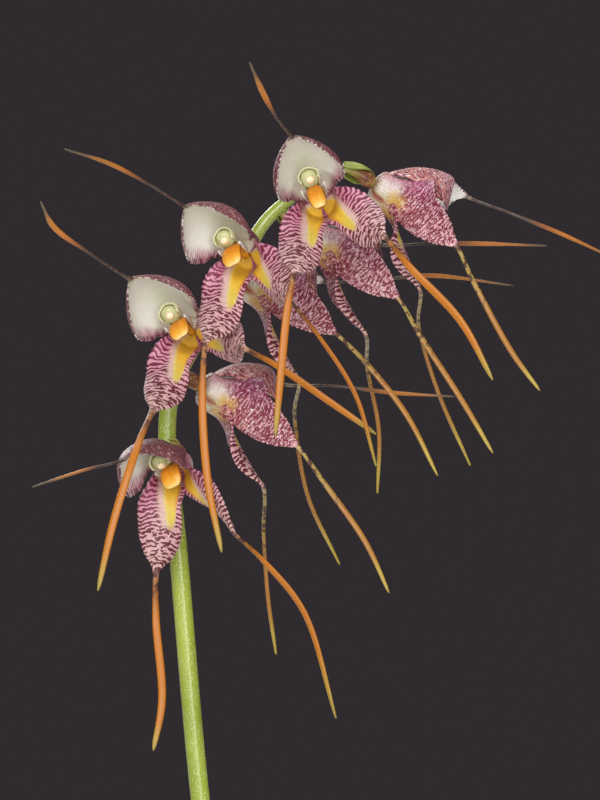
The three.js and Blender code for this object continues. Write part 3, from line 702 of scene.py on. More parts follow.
def lowerSepalFace():
    # the showy inner side: bars of maroon on pink and a yellow band
    r = Recipe("lower_sepal_face")
    share, down, side, edge, tone, seed = sepalBasics(r)
    sway = r.noise(r.vector(side * 0.45, down * 0.4, seed), 1.0, 1.0) - 0.5
    kinks = r.noise(r.vector(side * 1.3, down * 1.2, seed + 2), 1.0, 1.0) - 0.5
    phase = down / 0.68 + sway * 2.6 + kinks * 1.1 - edge.most(0.0) * 1.2
    wave = (phase * 6.2832).sine()
    blots = r.noise(r.vector(side * 1.2, down * 2.0, seed + 5), 1.0, 2.0, 0.6) - 0.5
    breaks = share.between(0.35, 0.7) * abs(edge).between(1.0, 0.35)
    field = wave * (0.5 - breaks * 0.26) + blots * (1.5 + breaks * 1.7)
    bars = field.between(-0.06, 0.06)
    blush = share.between(0.62, 0.2) * (edge + 0.05).between(0.1, 0.7)
    blush = blush.most(share.between(0.5, 0.2) * edge.between(-0.7, -0.95))
    grain = r.noise(r.vector(side, down, seed), 5.0, 2.0)
    ground = r.mix(share.between(0.5, 0.95), "#d49ea6", "#d2a8a4")
    ground = r.mix(blush * 0.8, ground, "#bf6c92")
    ground = r.mix(grain.between(0.5, 0.75) * 0.4, ground, "#ecd0d0")
    bar = r.mix(blush, "#5a0a20", "#6e0e34")
    bar = r.mix(share.between(0.8, 1.0) * 0.6, bar, "#581f1a")
    coloured = r.mix(bars * 0.95, ground, bar)
    low = share * 0.62 - 0.76
    high = 0.62 - share * 1.3
    wobble = sway * 0.12 + (grain - 0.5) * 0.12
    span = (share + wobble * 0.4).between(0.6, 0.5)
    cream = (high - edge + wobble).between(-0.3, -0.08) * (edge - low + wobble).between(-0.02, 0.06) * span
    yellow = (high - edge + wobble).between(0.0, 0.07) * (edge - low + wobble).between(-0.06, 0.1) * span
    gold = r.mix(share.between(0.45, 0.2), "#d6bc4a", "#eab936")
    gold = r.mix((edge - low).between(0.3, 0.0) * share.between(0.45, 0.25), gold, "#d07a30")
    gold = r.mix((high - edge).between(0.22, 0.02) * 0.6, gold, "#ddd29a")
    coloured = r.mix(cream * 0.9, coloured, "#dbb9ae")
    coloured = r.mix(yellow, coloured, gold)
    tail = tailColour(r, share, down, side, edge, tone, seed, False)
    coloured = r.mix(share.between(0.98, 1.04), coloured, tail)
    pips = r.noise(r.vector(side, down, seed), 6.5, 2.0)
    height = (pips * 0.7 + bars * 0.25 * (1.0 - yellow)) * share.between(1.04, 0.94)
    return r.finish(coloured, 0.36 + grain * 0.2, (height, 0.5, 0.0002))


def netColour(r, share, down, side, edge, seed, dark):
    # the outer side of every sepal: a maze of maroon lines over granular, pinkish white, with painted white
    # glints on the granules
    sway = r.noise(r.vector(side * 0.45, down * 0.45, seed), 1.0, 1.0) - 0.5
    swirl = r.noise(r.vector(side * 1.5, down * 1.8, seed + 9), 1.0, 1.0, 0.5, 0.8) - 0.5
    fine = r.noise(r.vector(side * 2.8, down * 2.8, seed + 3), 1.0, 2.0)
    wave = ((down / 0.56 + sway * 3.0 + swirl * 1.5 - edge * edge * 0.8) * 6.2832).sine()
    field = wave * 0.16 + swirl * 1.5 + (fine - 0.5) * 0.8
    lines = (field + dark).between(0.0, 0.13)
    blush = share.between(0.8, 0.15) * (edge.between(0.2, 0.8) * 0.75 + 0.15)
    ground = r.mix(blush, "#d29ca2", "#b85e88")
    warm = share.between(0.62, 0.3) * edge.between(0.5, -0.3)
    ground = r.mix(warm * 0.75, ground, "#c07460")
    # painted highlight: white glints where the fine noise is high; the same noise also gives the bumps
    ground = r.mix(fine.between(0.5, 0.66) * 0.85, ground, "#f7ecec")
    line = r.mix(blush, "#780e2e", "#821a4c")
    return r.mix(lines * 0.94, ground, line), lines, fine


def sepalBack(name, hood):
    r = Recipe(name)
    share, down, side, edge, tone, seed = sepalBasics(r)
    dark = 0.3 - tone * 0.32 if hood else 0.1
    net, lines, fine = netColour(r, share, down, side, edge, seed, dark)
    sway = r.noise(r.vector(side * 0.5, down * 0.5, seed), 1.0, 2.0) - 0.5
    if hood:
        # painted shade: the front rank's hood backs, whose tops lie in shadow, are darkened towards brown
        net = r.mix((1.0 - tone) * 0.45, net, "#4a3828")
        coloured = r.mix(share.between(0.02, -0.1), net, "#8a5a48")
    else:
        across = (edge * 0.5 + 0.5 + sway * 0.3).ramp(
            [
                (0, "#a8584c"), (0.18, "#cc9a78"), (0.32, "#e0d4b0"), (0.5, "#eae2d0"), (0.66, "#e4d4cc"),
                (0.9, "#c98a98"),
            ]
        )
        coloured = r.mix((share + sway * 0.2).between(0.2, 0.04) * 0.95, net, across)
        streak = share.between(0.02, 0.1) * share.between(0.3, 0.18)
        streak = streak * abs(edge + sway * 0.4 + 0.1).between(0.45, 0.1)
        coloured = r.mix(streak * 0.75, coloured, "#d6ac48")
        coloured = r.mix(share.between(-0.03, -0.14), coloured, "#8f6a48")
    tail = tailColour(r, share, down, side, edge, tone, seed, hood)
    coloured = r.mix(share.between(0.98, 1.04), coloured, tail)
    domes = r.cells(r.vector(side, down, seed), 3.2)
    height = (fine * 0.5 + (1.0 - domes) * 0.8 + lines * -0.2) * share.between(1.04, 0.94)
    return r.finish(coloured, 0.27 + fine * 0.25, (height, 0.8, 0.00028))


def hoodFace():
    # the pale, waxy inside of the hood, flushed and dotted towards its lower edges
    r = Recipe("hood_face")
    share, down, side, edge, tone, seed = sepalBasics(r)
    grain = r.noise(r.vector(side, down, seed), 3.5, 3.0)
    rays = r.noise(r.vector(side * 0.6, down * 2.6, seed), 1.8, 2.0)
    rim = abs(edge)
    middle = rim.between(0.4, 0.0) * share.between(0.7, 0.2)
    ground = r.mix(middle * 0.8, "#e2dfd6", "#ced2b4")
    ground = r.mix(grain.between(0.4, 0.8) * 0.4, ground, "#e2dfd8")
    ground = r.mix(tone * share.between(0.6, 0.8), ground, "#f4f2f0")
    flush = rim.between(0.6, 0.98) * share.between(0.6, 0.3)
    ground = r.mix(flush * 0.85, ground, "#b56f86")
    combs = ((down / 0.5 + rays * 1.6) * 6.2832).sine() * 0.5 + 0.5
    dots = (combs * 0.6 + rays * 0.6 + (grain - 0.5) * 0.3).between(0.58, 0.76) * rim.between(0.66, 0.9)
    coloured = r.mix(dots * share.between(0.98, 0.7) * 0.85, ground, "#7a3050")
    border = rim.between(0.88, 0.95)
    dashes = r.noise(r.vector(0.0, down, seed), 2.6, 0.0).between(0.46, 0.54)
    coloured = r.mix(border * (0.2 + dashes * 0.75), coloured, "#4a1428")
    tip = share.between(0.86, 0.97) * (1.0 - tone)
    coloured = r.mix(tip * grain.between(0.35, 0.6) * 0.7, coloured, "#9c8a5c")
    tail = tailColour(r, share, down, side, edge, tone, seed, True)
    coloured = r.mix(share.between(0.96, 1.02), coloured, tail)
    veins = (side * 4.0).sine() * 0.12
    return r.finish(
        coloured, 0.38 + grain * 0.15, ((grain * 0.5 + veins) * share.between(1.04, 0.94), 0.35, 0.0002)
    )


sepalLooks = {
    "lowerFace": lowerSepalFace(),
    "lowerBack": sepalBack("lower_sepal_back", False),
    "hoodFace": hoodFace(),
    "hoodBack": sepalBack("hood_back", True),
}

for number, flower in enumerate(flowers, 1):
    node = f"flower_{number}_sepals"
    asides = [math.radians(angle) for angle in flower["spread"]]
    joins = [(math.pi - aside) / 2 for aside in asides]
    hoodLooks = [sepalLooks["hoodFace"], sepalLooks["hoodBack"]]
    lowerLooks = [sepalLooks["lowerFace"], sepalLooks["lowerBack"]]
    makeSepal(f"hood_{number}", node, hoodShape, flower, number, 0, 1, 0, "hoodTail", *joins, hoodLooks)
    for i, (word, hand) in enumerate((("left", 1), ("right", -1))):
        makeSepal(
            f"{word}_sepal_{number}", node, lowerShape, flower, number, math.pi + hand * asides[i], hand,
            flower["twist"][i], f"{word}Tail", sum(asides) / 2, joins[i], lowerLooks,
        )
print("sepals made")


# The flower's middle: column with its cap, two small petals, and the lip

columnSettings = {
    "line": [[0, 0.3, -3.6], [0, 1.1, -2.2], [0, 2.5, -0.4], [0, 3.5, 0.9], [0, 4.0, 1.7]],
    "radius": [[0, 0.5], [0.4, 0.85], [0.75, 1.35], [0.92, 1.62], [1, 1.5]],
    "openFrom": 118,  # degrees from its back to each edge
    "rings": 26,
    "sides": 27,
    "wall": 0.34,
    "bedPlace": [0, 3.55, 0.75],  # the pale bed in its mouth that carries the cap
    "bedRadii": [1.42, 1.5, 0.95],
    "capPlace": [0.05, 3.35, 1.75],
    "capRadii": [0.66, 0.64, 0.45],
    "capTilt": 0.5,
}
petalSettings = {
    "line": [[0.7, 0.2, -3.4], [1.35, 0.8, -1.9], [1.85, 1.5, -0.3], [1.95, 2.0, 0.7], [1.85, 2.3, 1.2]],
    "width": [[0, 0.6], [0.35, 1.1], [0.7, 1.4], [0.9, 1.0], [1, 0.3]],
    "thickness": 0.14,
    "rings": 24,
    "columns": 9,
}
lipSettings = {
    # height, reach, half width and thickness, from its claw to its tip
    "rows": [
        [-0.9, -3.4, 0.4, 0.5],
        [0.5, -2.2, 0.6, 0.7],
        [1.6, -0.8, 0.9, 0.8],
        [2.05, 0.6, 1.1, 0.8],
        [1.75, 1.8, 1.22, 0.78],
        [0.9, 2.7, 1.26, 0.7],
        [-0.1, 3.2, 1.2, 0.6],
        [-0.85, 3.4, 0.9, 0.5],
        [-1.2, 3.4, 0.4, 0.35],
    ],
    "steps": 40,
    "columns": 17,
}


def columnLook():
    r = Recipe("column_cream")
    along, around = r.attribute("along"), r.attribute("around")
    grain = r.noise(r.place(), 2600.0, 2.0)
    ground = along.ramp([(0, "#c4ba88"), (0.55, "#c2c08e"), (0.8, "#bcbc88"), (1, "#c4c098")])
    ground = r.mix(abs(around).between(0.7, 1.0) * 0.5, ground, "#d0c6ae")
    # painted shade: the inside of the column's mouth, under the cap, is darkened towards brown
    inside = abs(around).between(0.42, 0.2) * along.between(0.6, 0.8) * along.between(0.95, 0.85)
    coloured = r.mix(inside * 0.3, ground, "#a8603c")
    return r.finish(coloured, 0.32 + grain * 0.15, (grain, 0.25, 0.0001), flesh(0.2, (1.0, 0.8, 0.5), 0.0008))


def capLook():
    r = Recipe("cap_wax")
    grain = r.noise(r.place(), 1800.0, 2.0)
    coloured = r.mix(grain.between(0.3, 0.7), "#f0d3a4", "#f8e0c0")
    return r.finish(coloured, 0.28 + grain * 0.1, (grain, 0.2, 0.00008), flesh(0.25, (1.0, 0.8, 0.5), 0.0006))


def petalLook():
    r = Recipe("petal_glassy")
    along = r.attribute("along")
    grain = r.noise(r.place(), 3200.0, 2.0)
    coloured = r.mix(along.between(0.2, 0.9), "#cfcaa8", "#dcd4c4")
    # painted highlight: near-white specks stand in for the glitter of light on the glassy petals
    coloured = r.mix(grain.between(0.55, 0.75) * 0.6, coloured, "#f4f0ea")
    return r.finish(coloured, 0.22 + grain * 0.2, (grain, 0.6, 0.0001), flesh(0.3, (1.0, 0.9, 0.8), 0.0008))


def lipLook():
    r = Recipe("lip_orange")
    along, edge = r.attribute("along"), r.attribute("edge")
    grain = r.noise(r.place(), 3000.0, 2.0)
    stops = [(0, "#d99a28"), (0.45, "#d07c10"), (0.62, "#de8c10"), (0.76, "#ecb03a"), (0.9, "#eed084")]
    ground = along.ramp(stops + [(0.96, "#cc8c3c"), (1, "#8c3a18")])
    ground = r.mix(grain.between(0.55, 0.8) * 0.4, ground, "#f6cf7a")
    outline = (abs(edge) + (grain - 0.5) * 0.1).between(0.82, 0.93).most(along.between(0.94, 0.98))
    coloured = r.mix(outline * 0.8, ground, "#8c3a18")
    return r.finish(coloured, 0.3 + grain * 0.2, (grain, 0.5, 0.00012), flesh(0.15, (1.0, 0.5, 0.2), 0.0006))


middleLooks = {"column": columnLook(), "cap": capLook(), "petal": petalLook(), "lip": lipLook()}


def thinSheet(grid, half):
    # a grid thickened to both sides: its points and faces
    lift = gridNormals(grid) * half[..., None]
    return np.concatenate([grid + lift, grid - lift]).reshape(-1, 3), sheetFaces(*grid.shape[:2])[0]


def columnBody(heap, flower):
    s = columnSettings
    line = evenCurve(s["line"], s["rings"])
    tangents = np.gradient(line, axis=0)
    angles = np.radians(np.linspace(-s["openFrom"], s["openFrom"], s["sides"]))
    grid = []
    for i, (centre, tangent) in enumerate(zip(line, tangents)):
        share = i / (len(line) - 1)
        tangent = unit(tangent)
        back = unit(np.cross([1.0, 0, 0], tangent)) * -1  # away from the lip
        back = back if back[1] > 0 else -back
        radius = readLine(s["radius"], share)
        tooth = 1 + 0.025 * share**4 * np.cos(angles * 5)
        ring = centre + np.outer(np.cos(angles) * radius * tooth, back)
        grid.append(ring + np.outer(np.sin(angles) * radius * tooth, [1.0, 0, 0]))
    grid = np.array(grid)
    edges = np.linspace(-1, 1, len(angles))
    half = np.tile((0.55 + 0.45 * np.sqrt(np.clip(1 - edges**4, 0, 1))) * s["wall"] / 2, (len(line), 1))
    points, faces = thinSheet(grid, half)
    along = perRow(np.linspace(0, 1, len(line)), len(angles))
    heap.add(toPlant(points, flower), faces, 0, along=along, around=perColumn(edges, len(line)))


def ball(centre, radii, tilt, rings=14, sides=20):
    polar = np.repeat(np.linspace(0, math.pi, rings + 1), sides)
    angle = np.tile(2 * math.pi * np.arange(sides) / sides, rings + 1)
    x = radii[0] * np.sin(polar) * np.cos(angle)
    y = radii[1] * np.sin(polar) * np.sin(angle)
    z = radii[2] * np.cos(polar)
    c, t = math.cos(tilt), math.sin(tilt)
    return np.stack([x, y * c - z * t, y * t + z * c], 1) + np.array(centre), tubeFaces(rings + 1, sides)[:-2]


def petalBody(heap, flower, hand):
    s = petalSettings
    line = evenCurve(s["line"], s["rings"]) * np.array([hand, 1, 1])
    tangents = np.gradient(line, axis=0)
    edges = np.linspace(-1, 1, s["columns"])
    grid = []
    for i, (centre, tangent) in enumerate(zip(line, tangents)):
        share = i / (len(line) - 1)
        across = unit(np.cross(unit(tangent), [1.0, 0, 0]))
        across = across if across[1] > 0 else -across
        bulge = np.outer(np.abs(edges) ** 2 * -0.25 * hand, [1.0, 0, 0])
        grid.append(centre + np.outer(edges * readLine(s["width"], share) / 2, across) + bulge)
    grid = np.array(grid)
    half = np.tile(np.sqrt(np.clip(1.05 - edges**2, 0, 1)) * s["thickness"] / 2, (len(line), 1))
    points, faces = thinSheet(grid, half)
    along = perRow(np.linspace(0, 1, len(line)), len(edges))
    heap.add(toPlant(points, flower), faces, 2, along=along)


def lipGrid():
    s = lipSettings
    rows = np.array(s["rows"], float)
    places = np.linspace(0, 1, len(rows))
    edges = np.linspace(-1, 1, s["columns"])
    shares = np.linspace(0, 1, s["steps"]) ** 0.85
    spine = np.array([[readLine(list(zip(places, rows[:, k])), t) for k in range(4)] for t in shares])
    tangents = np.gradient(spine[:, :2], axis=0)
    grid, half = [], []
    for (y, z, halfWidth, thick), (dy, dz), share in zip(spine, tangents, shares):
        size = max(math.hypot(dy, dz), 1e-6)
        upY, upZ = dz / size, -dy / size
        groove = 0.16 * np.exp(-((edges / 0.22) ** 2)) * math.sin(math.pi * min(share * 1.05, 1))
        fall = 0.32 * np.abs(edges) ** 2.2 * halfWidth
        rise = -fall - groove
        ragged = 1 + 0.03 * np.sin(share * 150 + edges * 2) * np.abs(edges) ** 8
        row = np.stack([edges * halfWidth * ragged, y + rise * upY, z + rise * upZ], axis=1)
        grid.append(row)
        half.append(thick / 2 * np.sqrt(np.clip(1.06 - edges**2, 0, 1)))
    return np.array(grid), np.array(half), shares, edges


def lifted(points, angle):
    # the lip turned up about its claw, more and more towards its tip
    y, z = lipSettings["rows"][2][:2]
    c, s = math.cos(math.radians(angle)), math.sin(math.radians(angle))
    up, out = points[:, 1] - y, points[:, 2] - z
    turned = np.stack([points[:, 0], y + up * c + out * s, z + out * c - up * s], axis=1)
    share = smooth(z, z + 2.5, points[:, 2])[:, None]
    return points * (1 - share) + turned * share


lipShape, lipHalf, lipShares, lipEdges = lipGrid()
for number, flower in enumerate(flowers, 1):
    turned, place = flowerFrame(flower)
    moved = dict(flower, place=place + turned[:, 0] * flower.get("columnShift", 0))
    heap = Heap()
    columnBody(heap, moved)
    s = columnSettings
    for pick, word in ((0, "bed"), (1, "cap")):
        points, faces = ball(s[f"{word}Place"], s[f"{word}Radii"], s["capTilt"])
        heap.add(toPlant(points, moved), faces, pick, along=0.8, around=0.5)
    for hand in (1, -1):
        petalBody(heap, moved, hand)
    looks = [middleLooks["column"], middleLooks["cap"], middleLooks["petal"]]
    heap.piece(f"column_{number}", looks, "column", [f"flower_{number}_column"])
    heap = Heap()
    points, faces = thinSheet(lipShape, lipHalf)
    along, edge = perRow(lipShares, len(lipEdges)), perColumn(lipEdges, len(lipShares))
    points = lifted(points, flower.get("lipLift", 0))
    growth = flower.get("lipGrowth", 1)
    points = points * [growth, 1 / growth**0.8, 1] + [flower.get("lipShift", 0), (growth - 1) * 1.2, 0]
    heap.add(toPlant(points, flower), faces, 0, along=along, edge=edge)
    heap.piece(f"lip_{number}", [middleLooks["lip"]], "lip", [f"flower_{number}_lip"])
print("columns and lips made")


# The stalk, its sheaths, and the flower stems with their bracts

stalkSettings = {
    "line": [
        [4, 0, 62.5], [4, 0, 76], [2.6, 0.6, 110], [-2.2, 0.8, 160], [-8, 0, 205], [-11.3, 0, 242],
        [-13, 0, 260], [-12.2, 0, 266.5], [-9.4, 0, 272.5], [-5.6, 0, 278.6], [-1.6, 0, 286],
        [1.6, 0, 291.6], [5.6, 0, 295.4], [9.6, 0.4, 298.2], [13.4, 1, 300],
    ],
    "radius": [[0, 1.6], [0.5, 1.45], [0.8, 1.35], [1, 0.8]],
    "sheathPlaces": [0.24, 0.47],
    "sheathRings": 22,
    "rings": 240,
    "sides": 28,
}
stemSettings = {
    "radius": [[0, 0.7], [0.4, 0.75], [0.7, 1.15], [1, 0.85]],
    "ovary": 3,
    "rings": 34,
    "sides": 18,
    "ribs": 6,
    "ribDepth": 0.05,
    "bractLength": 6.2,
    "bractGrowth": 0.6,
    "bractRadius": [[0, 0.9], [0.25, 1.35], [0.7, 1.5], [1, 1.2]],
}


def stalkLook():
    r = Recipe("stalk_green")
    along = r.attribute("along")
    place = r.place()
    broad = r.noise(r.stretched(place, (1.0, 1.0, 0.35)), 180.0, 2.0)
    grains = r.cells(place, 3600.0)
    ground = r.mix(broad.between(0.3, 0.7), "#8fa32c", "#abba42")
    ground = r.mix(along.between(0.35, 0.0) * 0.5, ground, "#667a2c")
    # painted highlight: pale granules stand in for glints of light on the stalk's granular skin
    pale = grains.between(0.45, 0.2) * r.noise(place, 900.0, 2.0).between(0.35, 0.6)
    coloured = r.mix(pale * 0.55, ground, "#e2e6b4")
    return r.finish(
        coloured, 0.26 + broad * 0.2, (grains, 0.7, 0.00014), {"Coat Weight": 0.7, "Coat Roughness": 0.18}
    )


def ovaryLook():
    r = Recipe("ovary_flushed")
    along = r.attribute("along")
    place = r.place()
    grain = r.noise(place, 1500.0, 3.0)
    stops = [(0, "#86963f"), (0.35, "#8d7a3a"), (0.6, "#7a4a2c"), (0.85, "#84502f"), (1, "#a8a052")]
    ground = along.ramp(stops)
    coloured = r.mix(grain.between(0.5, 0.68) * 0.7, ground, "#5d2a22")
    # painted highlight: pale cream dots stand in for glints of light on the ovary
    coloured = r.mix(grain.between(0.42, 0.3) * 0.5, coloured, "#d9b878")
    return r.finish(coloured, 0.38 + grain * 0.2, (grain, 0.4, 0.00012))


def bractLook():
    r = Recipe("bract_green")
    along, around = r.attribute("along"), r.attribute("around")
    place = r.place()
    veins = (around * 34.0).sine() * 0.5 + 0.5
    grain = r.noise(place, 700.0, 3.0)
    ground = r.mix(grain.between(0.3, 0.7), "#86923a", "#a3a850")
    ground = r.mix(veins * 0.35, ground, "#66702c")
    dry = (along + (grain - 0.5) * 0.5).between(0.65, 1.0)
    coloured = r.mix(dry * 0.8, ground, "#a8875a")
    return r.finish(coloured, 0.45 + grain * 0.2, (veins + grain * 0.5, 0.4, 0.00015))


stemLooks = {"stalk": stalkLook(), "ovary": ovaryLook(), "bract": bractLook()}


def roundBody(heap, line, radii, sides, pick, ribs=0, ribDepth=0.0):
    rings = tubeGrid(line, (0, 1.0, 0), radii, sides, ribs, ribDepth)
    along = np.repeat(np.linspace(0, 1, len(line)), sides)
    heap.add(rings, tubeFaces(len(line), sides), pick, along=along)


def sheathBody(heap, line, radii, pick, opening, sides=25, thickness=0.16, reach=150):
    # a leafy half tube; its gap faces the given direction and widens towards its end
    backs, tangents = sidesAlong(line, -np.array(opening, float))
    grid = []
    turns = np.linspace(-1, 1, sides)
    for i, (centre, back, tangent, radius) in enumerate(zip(line, backs, tangents, radii)):
        share = i / (len(line) - 1)
        other = np.cross(tangent, back)
        angles = np.radians(turns * (reach - (reach - 25) * share**2.2))
        ring = np.outer(np.cos(angles), back) + np.outer(np.sin(angles), other)
        grid.append(centre + ring * radius)
    grid = np.array(grid)
    points, faces = thinSheet(grid, np.full(grid.shape[:2], thickness / 2))
    along = perRow(np.linspace(0, 1, len(line)), sides)
    heap.add(points, faces, pick, along=along, around=perColumn(turns, len(line)))


def stemLine(flower):
    root = np.array(flower["node"], float)
    end = toPlant([0, 0, -5.5], flower)
    before = toPlant([0, 0, -5.6 - stemSettings["ovary"]], flower)
    return evenCurve([root, root + (before - root) * 0.55, before, end], stemSettings["rings"])


heap = Heap()
rings, sheathRings = stalkSettings["rings"], stalkSettings["sheathRings"]
stalkLine = evenCurve(stalkSettings["line"], rings)
radii = [readLine(stalkSettings["radius"], i / (rings - 1)) for i in range(rings)]
roundBody(heap, stalkLine, radii, stalkSettings["sides"], 0)
for start in stalkSettings["sheathPlaces"]:
    first = int(start * (rings - 1))
    part = stalkLine[first : first + sheathRings]
    growth = [1.62 + 0.42 * smooth(0, 0.3, k / (sheathRings - 1)) for k in range(sheathRings)]
    sheathBody(heap, part, growth, 1, (-1, -0.4, 0), reach=172, thickness=0.22)
heap.piece("stalk", [stemLooks["stalk"], stemLooks["bract"]], "stalk", ["flower_stalk"])

heap = Heap()
s = stemSettings
for flower in flowers:
    line = stemLine(flower)
    radii = [readLine(s["radius"], i / (s["rings"] - 1)) for i in range(s["rings"])]
    roundBody(heap, line, radii, s["sides"], 0, s["ribs"], s["ribDepth"])
    size = flower.get("bractGrowth", s["bractGrowth"])
    reach = min(int(s["bractLength"] * size / np.linalg.norm(line[1] - line[0])), s["rings"] - 3)
    growth = [readLine(s["bractRadius"], k / (reach - 1)) * math.sqrt(size) for k in range(reach)]
    sheathBody(heap, line[:reach], growth, 1, (0.1, -0.8, -0.6), reach=140)
heap.piece("flower_stems", [stemLooks["ovary"], stemLooks["bract"]], "stalk", ["flower_stalk"])
print("stalk made")


# Leaves

leafSettings = {
    # way round, distance of the foot, length, lean at the foot, lean at the tip
    "places": [
        [20, 9, 128, 4, 26], [95, 10, 132, 3, 22], [168, 9, 124, 5, 30], [238, 10, 130, 4, 24],
        [310, 9.5, 118, 6, 32], [0, 19, 118, 10, 62], [55, 18, 124, 8, 54], [118, 19, 112, 12, 66],
        [148, 17.5, 104, 14, 74], [205, 19, 120, 9, 58], [270, 18, 108, 13, 68], [338, 18.5, 102, 14, 72],
    ],
    "width": [
        [0, 3.4], [0.12, 3.1], [0.34, 3.4], [0.48, 8.5], [0.64, 17], [0.79, 22], [0.91, 18.5], [0.97, 12],
        [1, 4],
    ],
    "fold": [[0, 60], [0.3, 58], [0.5, 34], [0.75, 20], [1, 8]],
    "thickness": [[0, 2.4], [0.36, 1.8], [0.6, 1.2], [1, 0.8]],
    "foot": 62,
    "straight": 18,
    "bendSteps": 5,
    "rows": 64,
    "columns": 21,
}


def leafLook():
    r = Recipe("leaf_leather")
    share, edge, side, seed = (r.attribute(name) for name in ("share", "edge", "side", "seed"))
    place = r.place()
    broad = r.noise(place, 40.0, 3.0)
    fine = r.noise(place, 900.0, 3.0)
    veins = r.noise(r.vector(side * 1.4, share * 6.0, seed), 1.0, 2.0)
    ground = r.mix(broad.between(0.3, 0.7), "#3f6a26", "#557f30")
    ground = r.mix(veins.between(0.5, 0.7) * 0.35, ground, "#6d9440")
    ground = r.mix(share.between(0.45, 0.1), ground, "#7f9a48")
    midrib = abs(edge).between(0.07, 0.0) * share.between(0.3, 0.6)
    ground = r.mix(midrib * 0.6, ground, "#8fae58")
    rim = abs(edge).between(0.93, 1.0)
    ground = r.mix(rim * 0.5, ground, "#8a9a4a")
    flecks = r.noise(place, 260.0, 2.0).between(0.68, 0.74)
    coloured = r.mix(flecks * 0.5, ground, "#9ba86a")
    height = veins * 0.6 + fine * 0.4
    return r.finish(
        coloured,
        0.34 + fine * 0.18,
        (height, 0.3, 0.0003),
        {"Coat Weight": 0.15, **flesh(0.05, (0.5, 1.0, 0.2), 0.001)},
    )


leafGreen = leafLook()


def makeLeaf(name, node, settings, number):
    around, distance, length, leanFoot, leanTip = settings
    s = leafSettings
    a = math.radians(around)
    out = np.array([math.cos(a), math.sin(a), 0])
    up = np.array([0, 0, 1.0])
    side = np.cross(up, out)
    centre = out * distance + up * s["foot"]
    straight = s["straight"] / length
    edges = np.linspace(-1, 1, s["columns"])
    chance = random.Random(number * 31)
    sway, phase = chance.uniform(-1, 1), chance.uniform(0, 6.28)
    grid, half, shares = [], [], []
    last = 0.0
    for k in range(s["rows"] + 1):
        share = math.sin(k / s["rows"] * math.pi / 2) ** 0.9
        for n in range(s["bendSteps"]):
            at = last + (share - last) * (n + 0.5) / s["bendSteps"]
            bent = min(max((at - straight) / (1 - straight), 0), 1)
            lean = 0 if at < straight else math.radians(leanFoot + (leanTip - leanFoot) * bent**1.3)
            along = out * math.sin(lean) + up * math.cos(lean)
            centre = centre + along * (share - last) * length / s["bendSteps"]
        last = share
        inward = -out * math.cos(lean) + up * math.sin(lean)
        halfWidth = readLine(s["width"], share) / 2
        fold = math.radians(readLine(s["fold"], share))
        blade = float(smooth(0.4, 0.62, share))
        rise = np.abs(edges) ** 1.15 * halfWidth * math.sin(fold * 0.5)
        rise = rise + blade * 0.35 * np.sin(share * 15 + phase + edges) * np.abs(edges) ** 2
        rise = rise - blade * 0.45 * np.abs(edges) ** 6
        notch = -1.3 * np.exp(-((edges / 0.3) ** 2)) * float(smooth(0.96, 1, share))
        row = centre + np.outer(edges * halfWidth * math.cos(fold * 0.5), side) + np.outer(rise, inward)
        row = row + np.outer(notch, along) + side * sway * blade * 0.8 * share**2
        grid.append(row)
        thick = readLine(s["thickness"], share)
        groove = 1 - 0.35 * blade * np.exp(-((edges / 0.1) ** 2))
        half.append(thick / 2 * groove * (0.25 + 0.75 * np.sqrt(np.clip(1 - edges**2, 0, 1)) ** 0.6))
        shares.append(share)
    points, faces = thinSheet(np.array(grid), np.array(half))
    widths = np.array([readLine(s["width"], t) / 2 for t in shares])
    layers = {
        "share": perRow(shares, len(edges)),
        "edge": perColumn(edges, len(shares)),
        "side": np.tile((widths[:, None] * edges[None, :]).ravel(), 2),
        "seed": np.full(len(points), number * 5.3),
    }
    addPiece(name, points, faces, [leafGreen], [node], None, layers)


for number, settings in enumerate(leafSettings["places"], 1):
    makeLeaf(f"leaf_blade_{number}", f"leaf_{number:02d}", settings, number)
print("leaves made")


# Bark chips

barkSettings = {
    "top": 74,
    "large": 120,
    "small": 150,
    "length": (10, 19),
    "width": (6, 11),
    "thickness": (3, 5.5),
    "bedSides": 48,
    "seed": 5,
}
potSettings = {
    "height": 86,
    "rimRadius": 51,
    "rimHeight": 17,
    "rimStep": 3,
    "footRadius": 34,
    "wall": 4.5,
    "thinning": 1,
    "floor": 6,
    "sides": 128,
    "drains": [30, 150, 270],
    "drainRing": 19,
    "drainRadius": 4,
    "drainSides": 40,
    "cutDepth": 30,
    "bevelSteps": 6,
    "longestStep": 4,
}


def potRadius(z):
    p = potSettings
    return p["footRadius"] + (p["rimRadius"] - p["rimStep"] - p["footRadius"]) * z / p["height"]


def insideRadius(z):
    p = potSettings
    return potRadius(z) - p["wall"] + p["thinning"] * (z - p["floor"]) / (p["height"] - p["floor"])


def barkLook():
    r = Recipe("bark_rough")
    shade = r.attribute("shade")
    place = r.place()
    layers = r.noise(r.stretched(place, (1.0, 1.0, 3.0)), 220.0, 4.0, 0.65)
    grain = r.noise(place, 900.0, 4.0, 0.7)
    ground = layers.ramp([(0.3, "#3a261b"), (0.45, "#5d3b28"), (0.58, "#7d5236"), (0.72, "#a0714c")])
    ground = r.mix(shade * 0.6, ground, "#8a6a50")
    coloured = r.mix(grain.between(0.6, 0.8) * 0.6, ground, "#b58f6a")
    coloured = r.mix(grain.between(0.42, 0.3) * 0.7, coloured, "#2a1b13")
    return r.finish(coloured, 0.8 + grain * 0.15, (layers + grain * 0.6, 0.9, 0.0006))


def latheBody(profile, sides):
    turns = [2 * math.pi * j / sides for j in range(sides)]
    points = [[radius * math.cos(a), radius * math.sin(a), z] for radius, z in profile for a in turns]
    return np.array(points), tubeFaces(len(profile), sides)


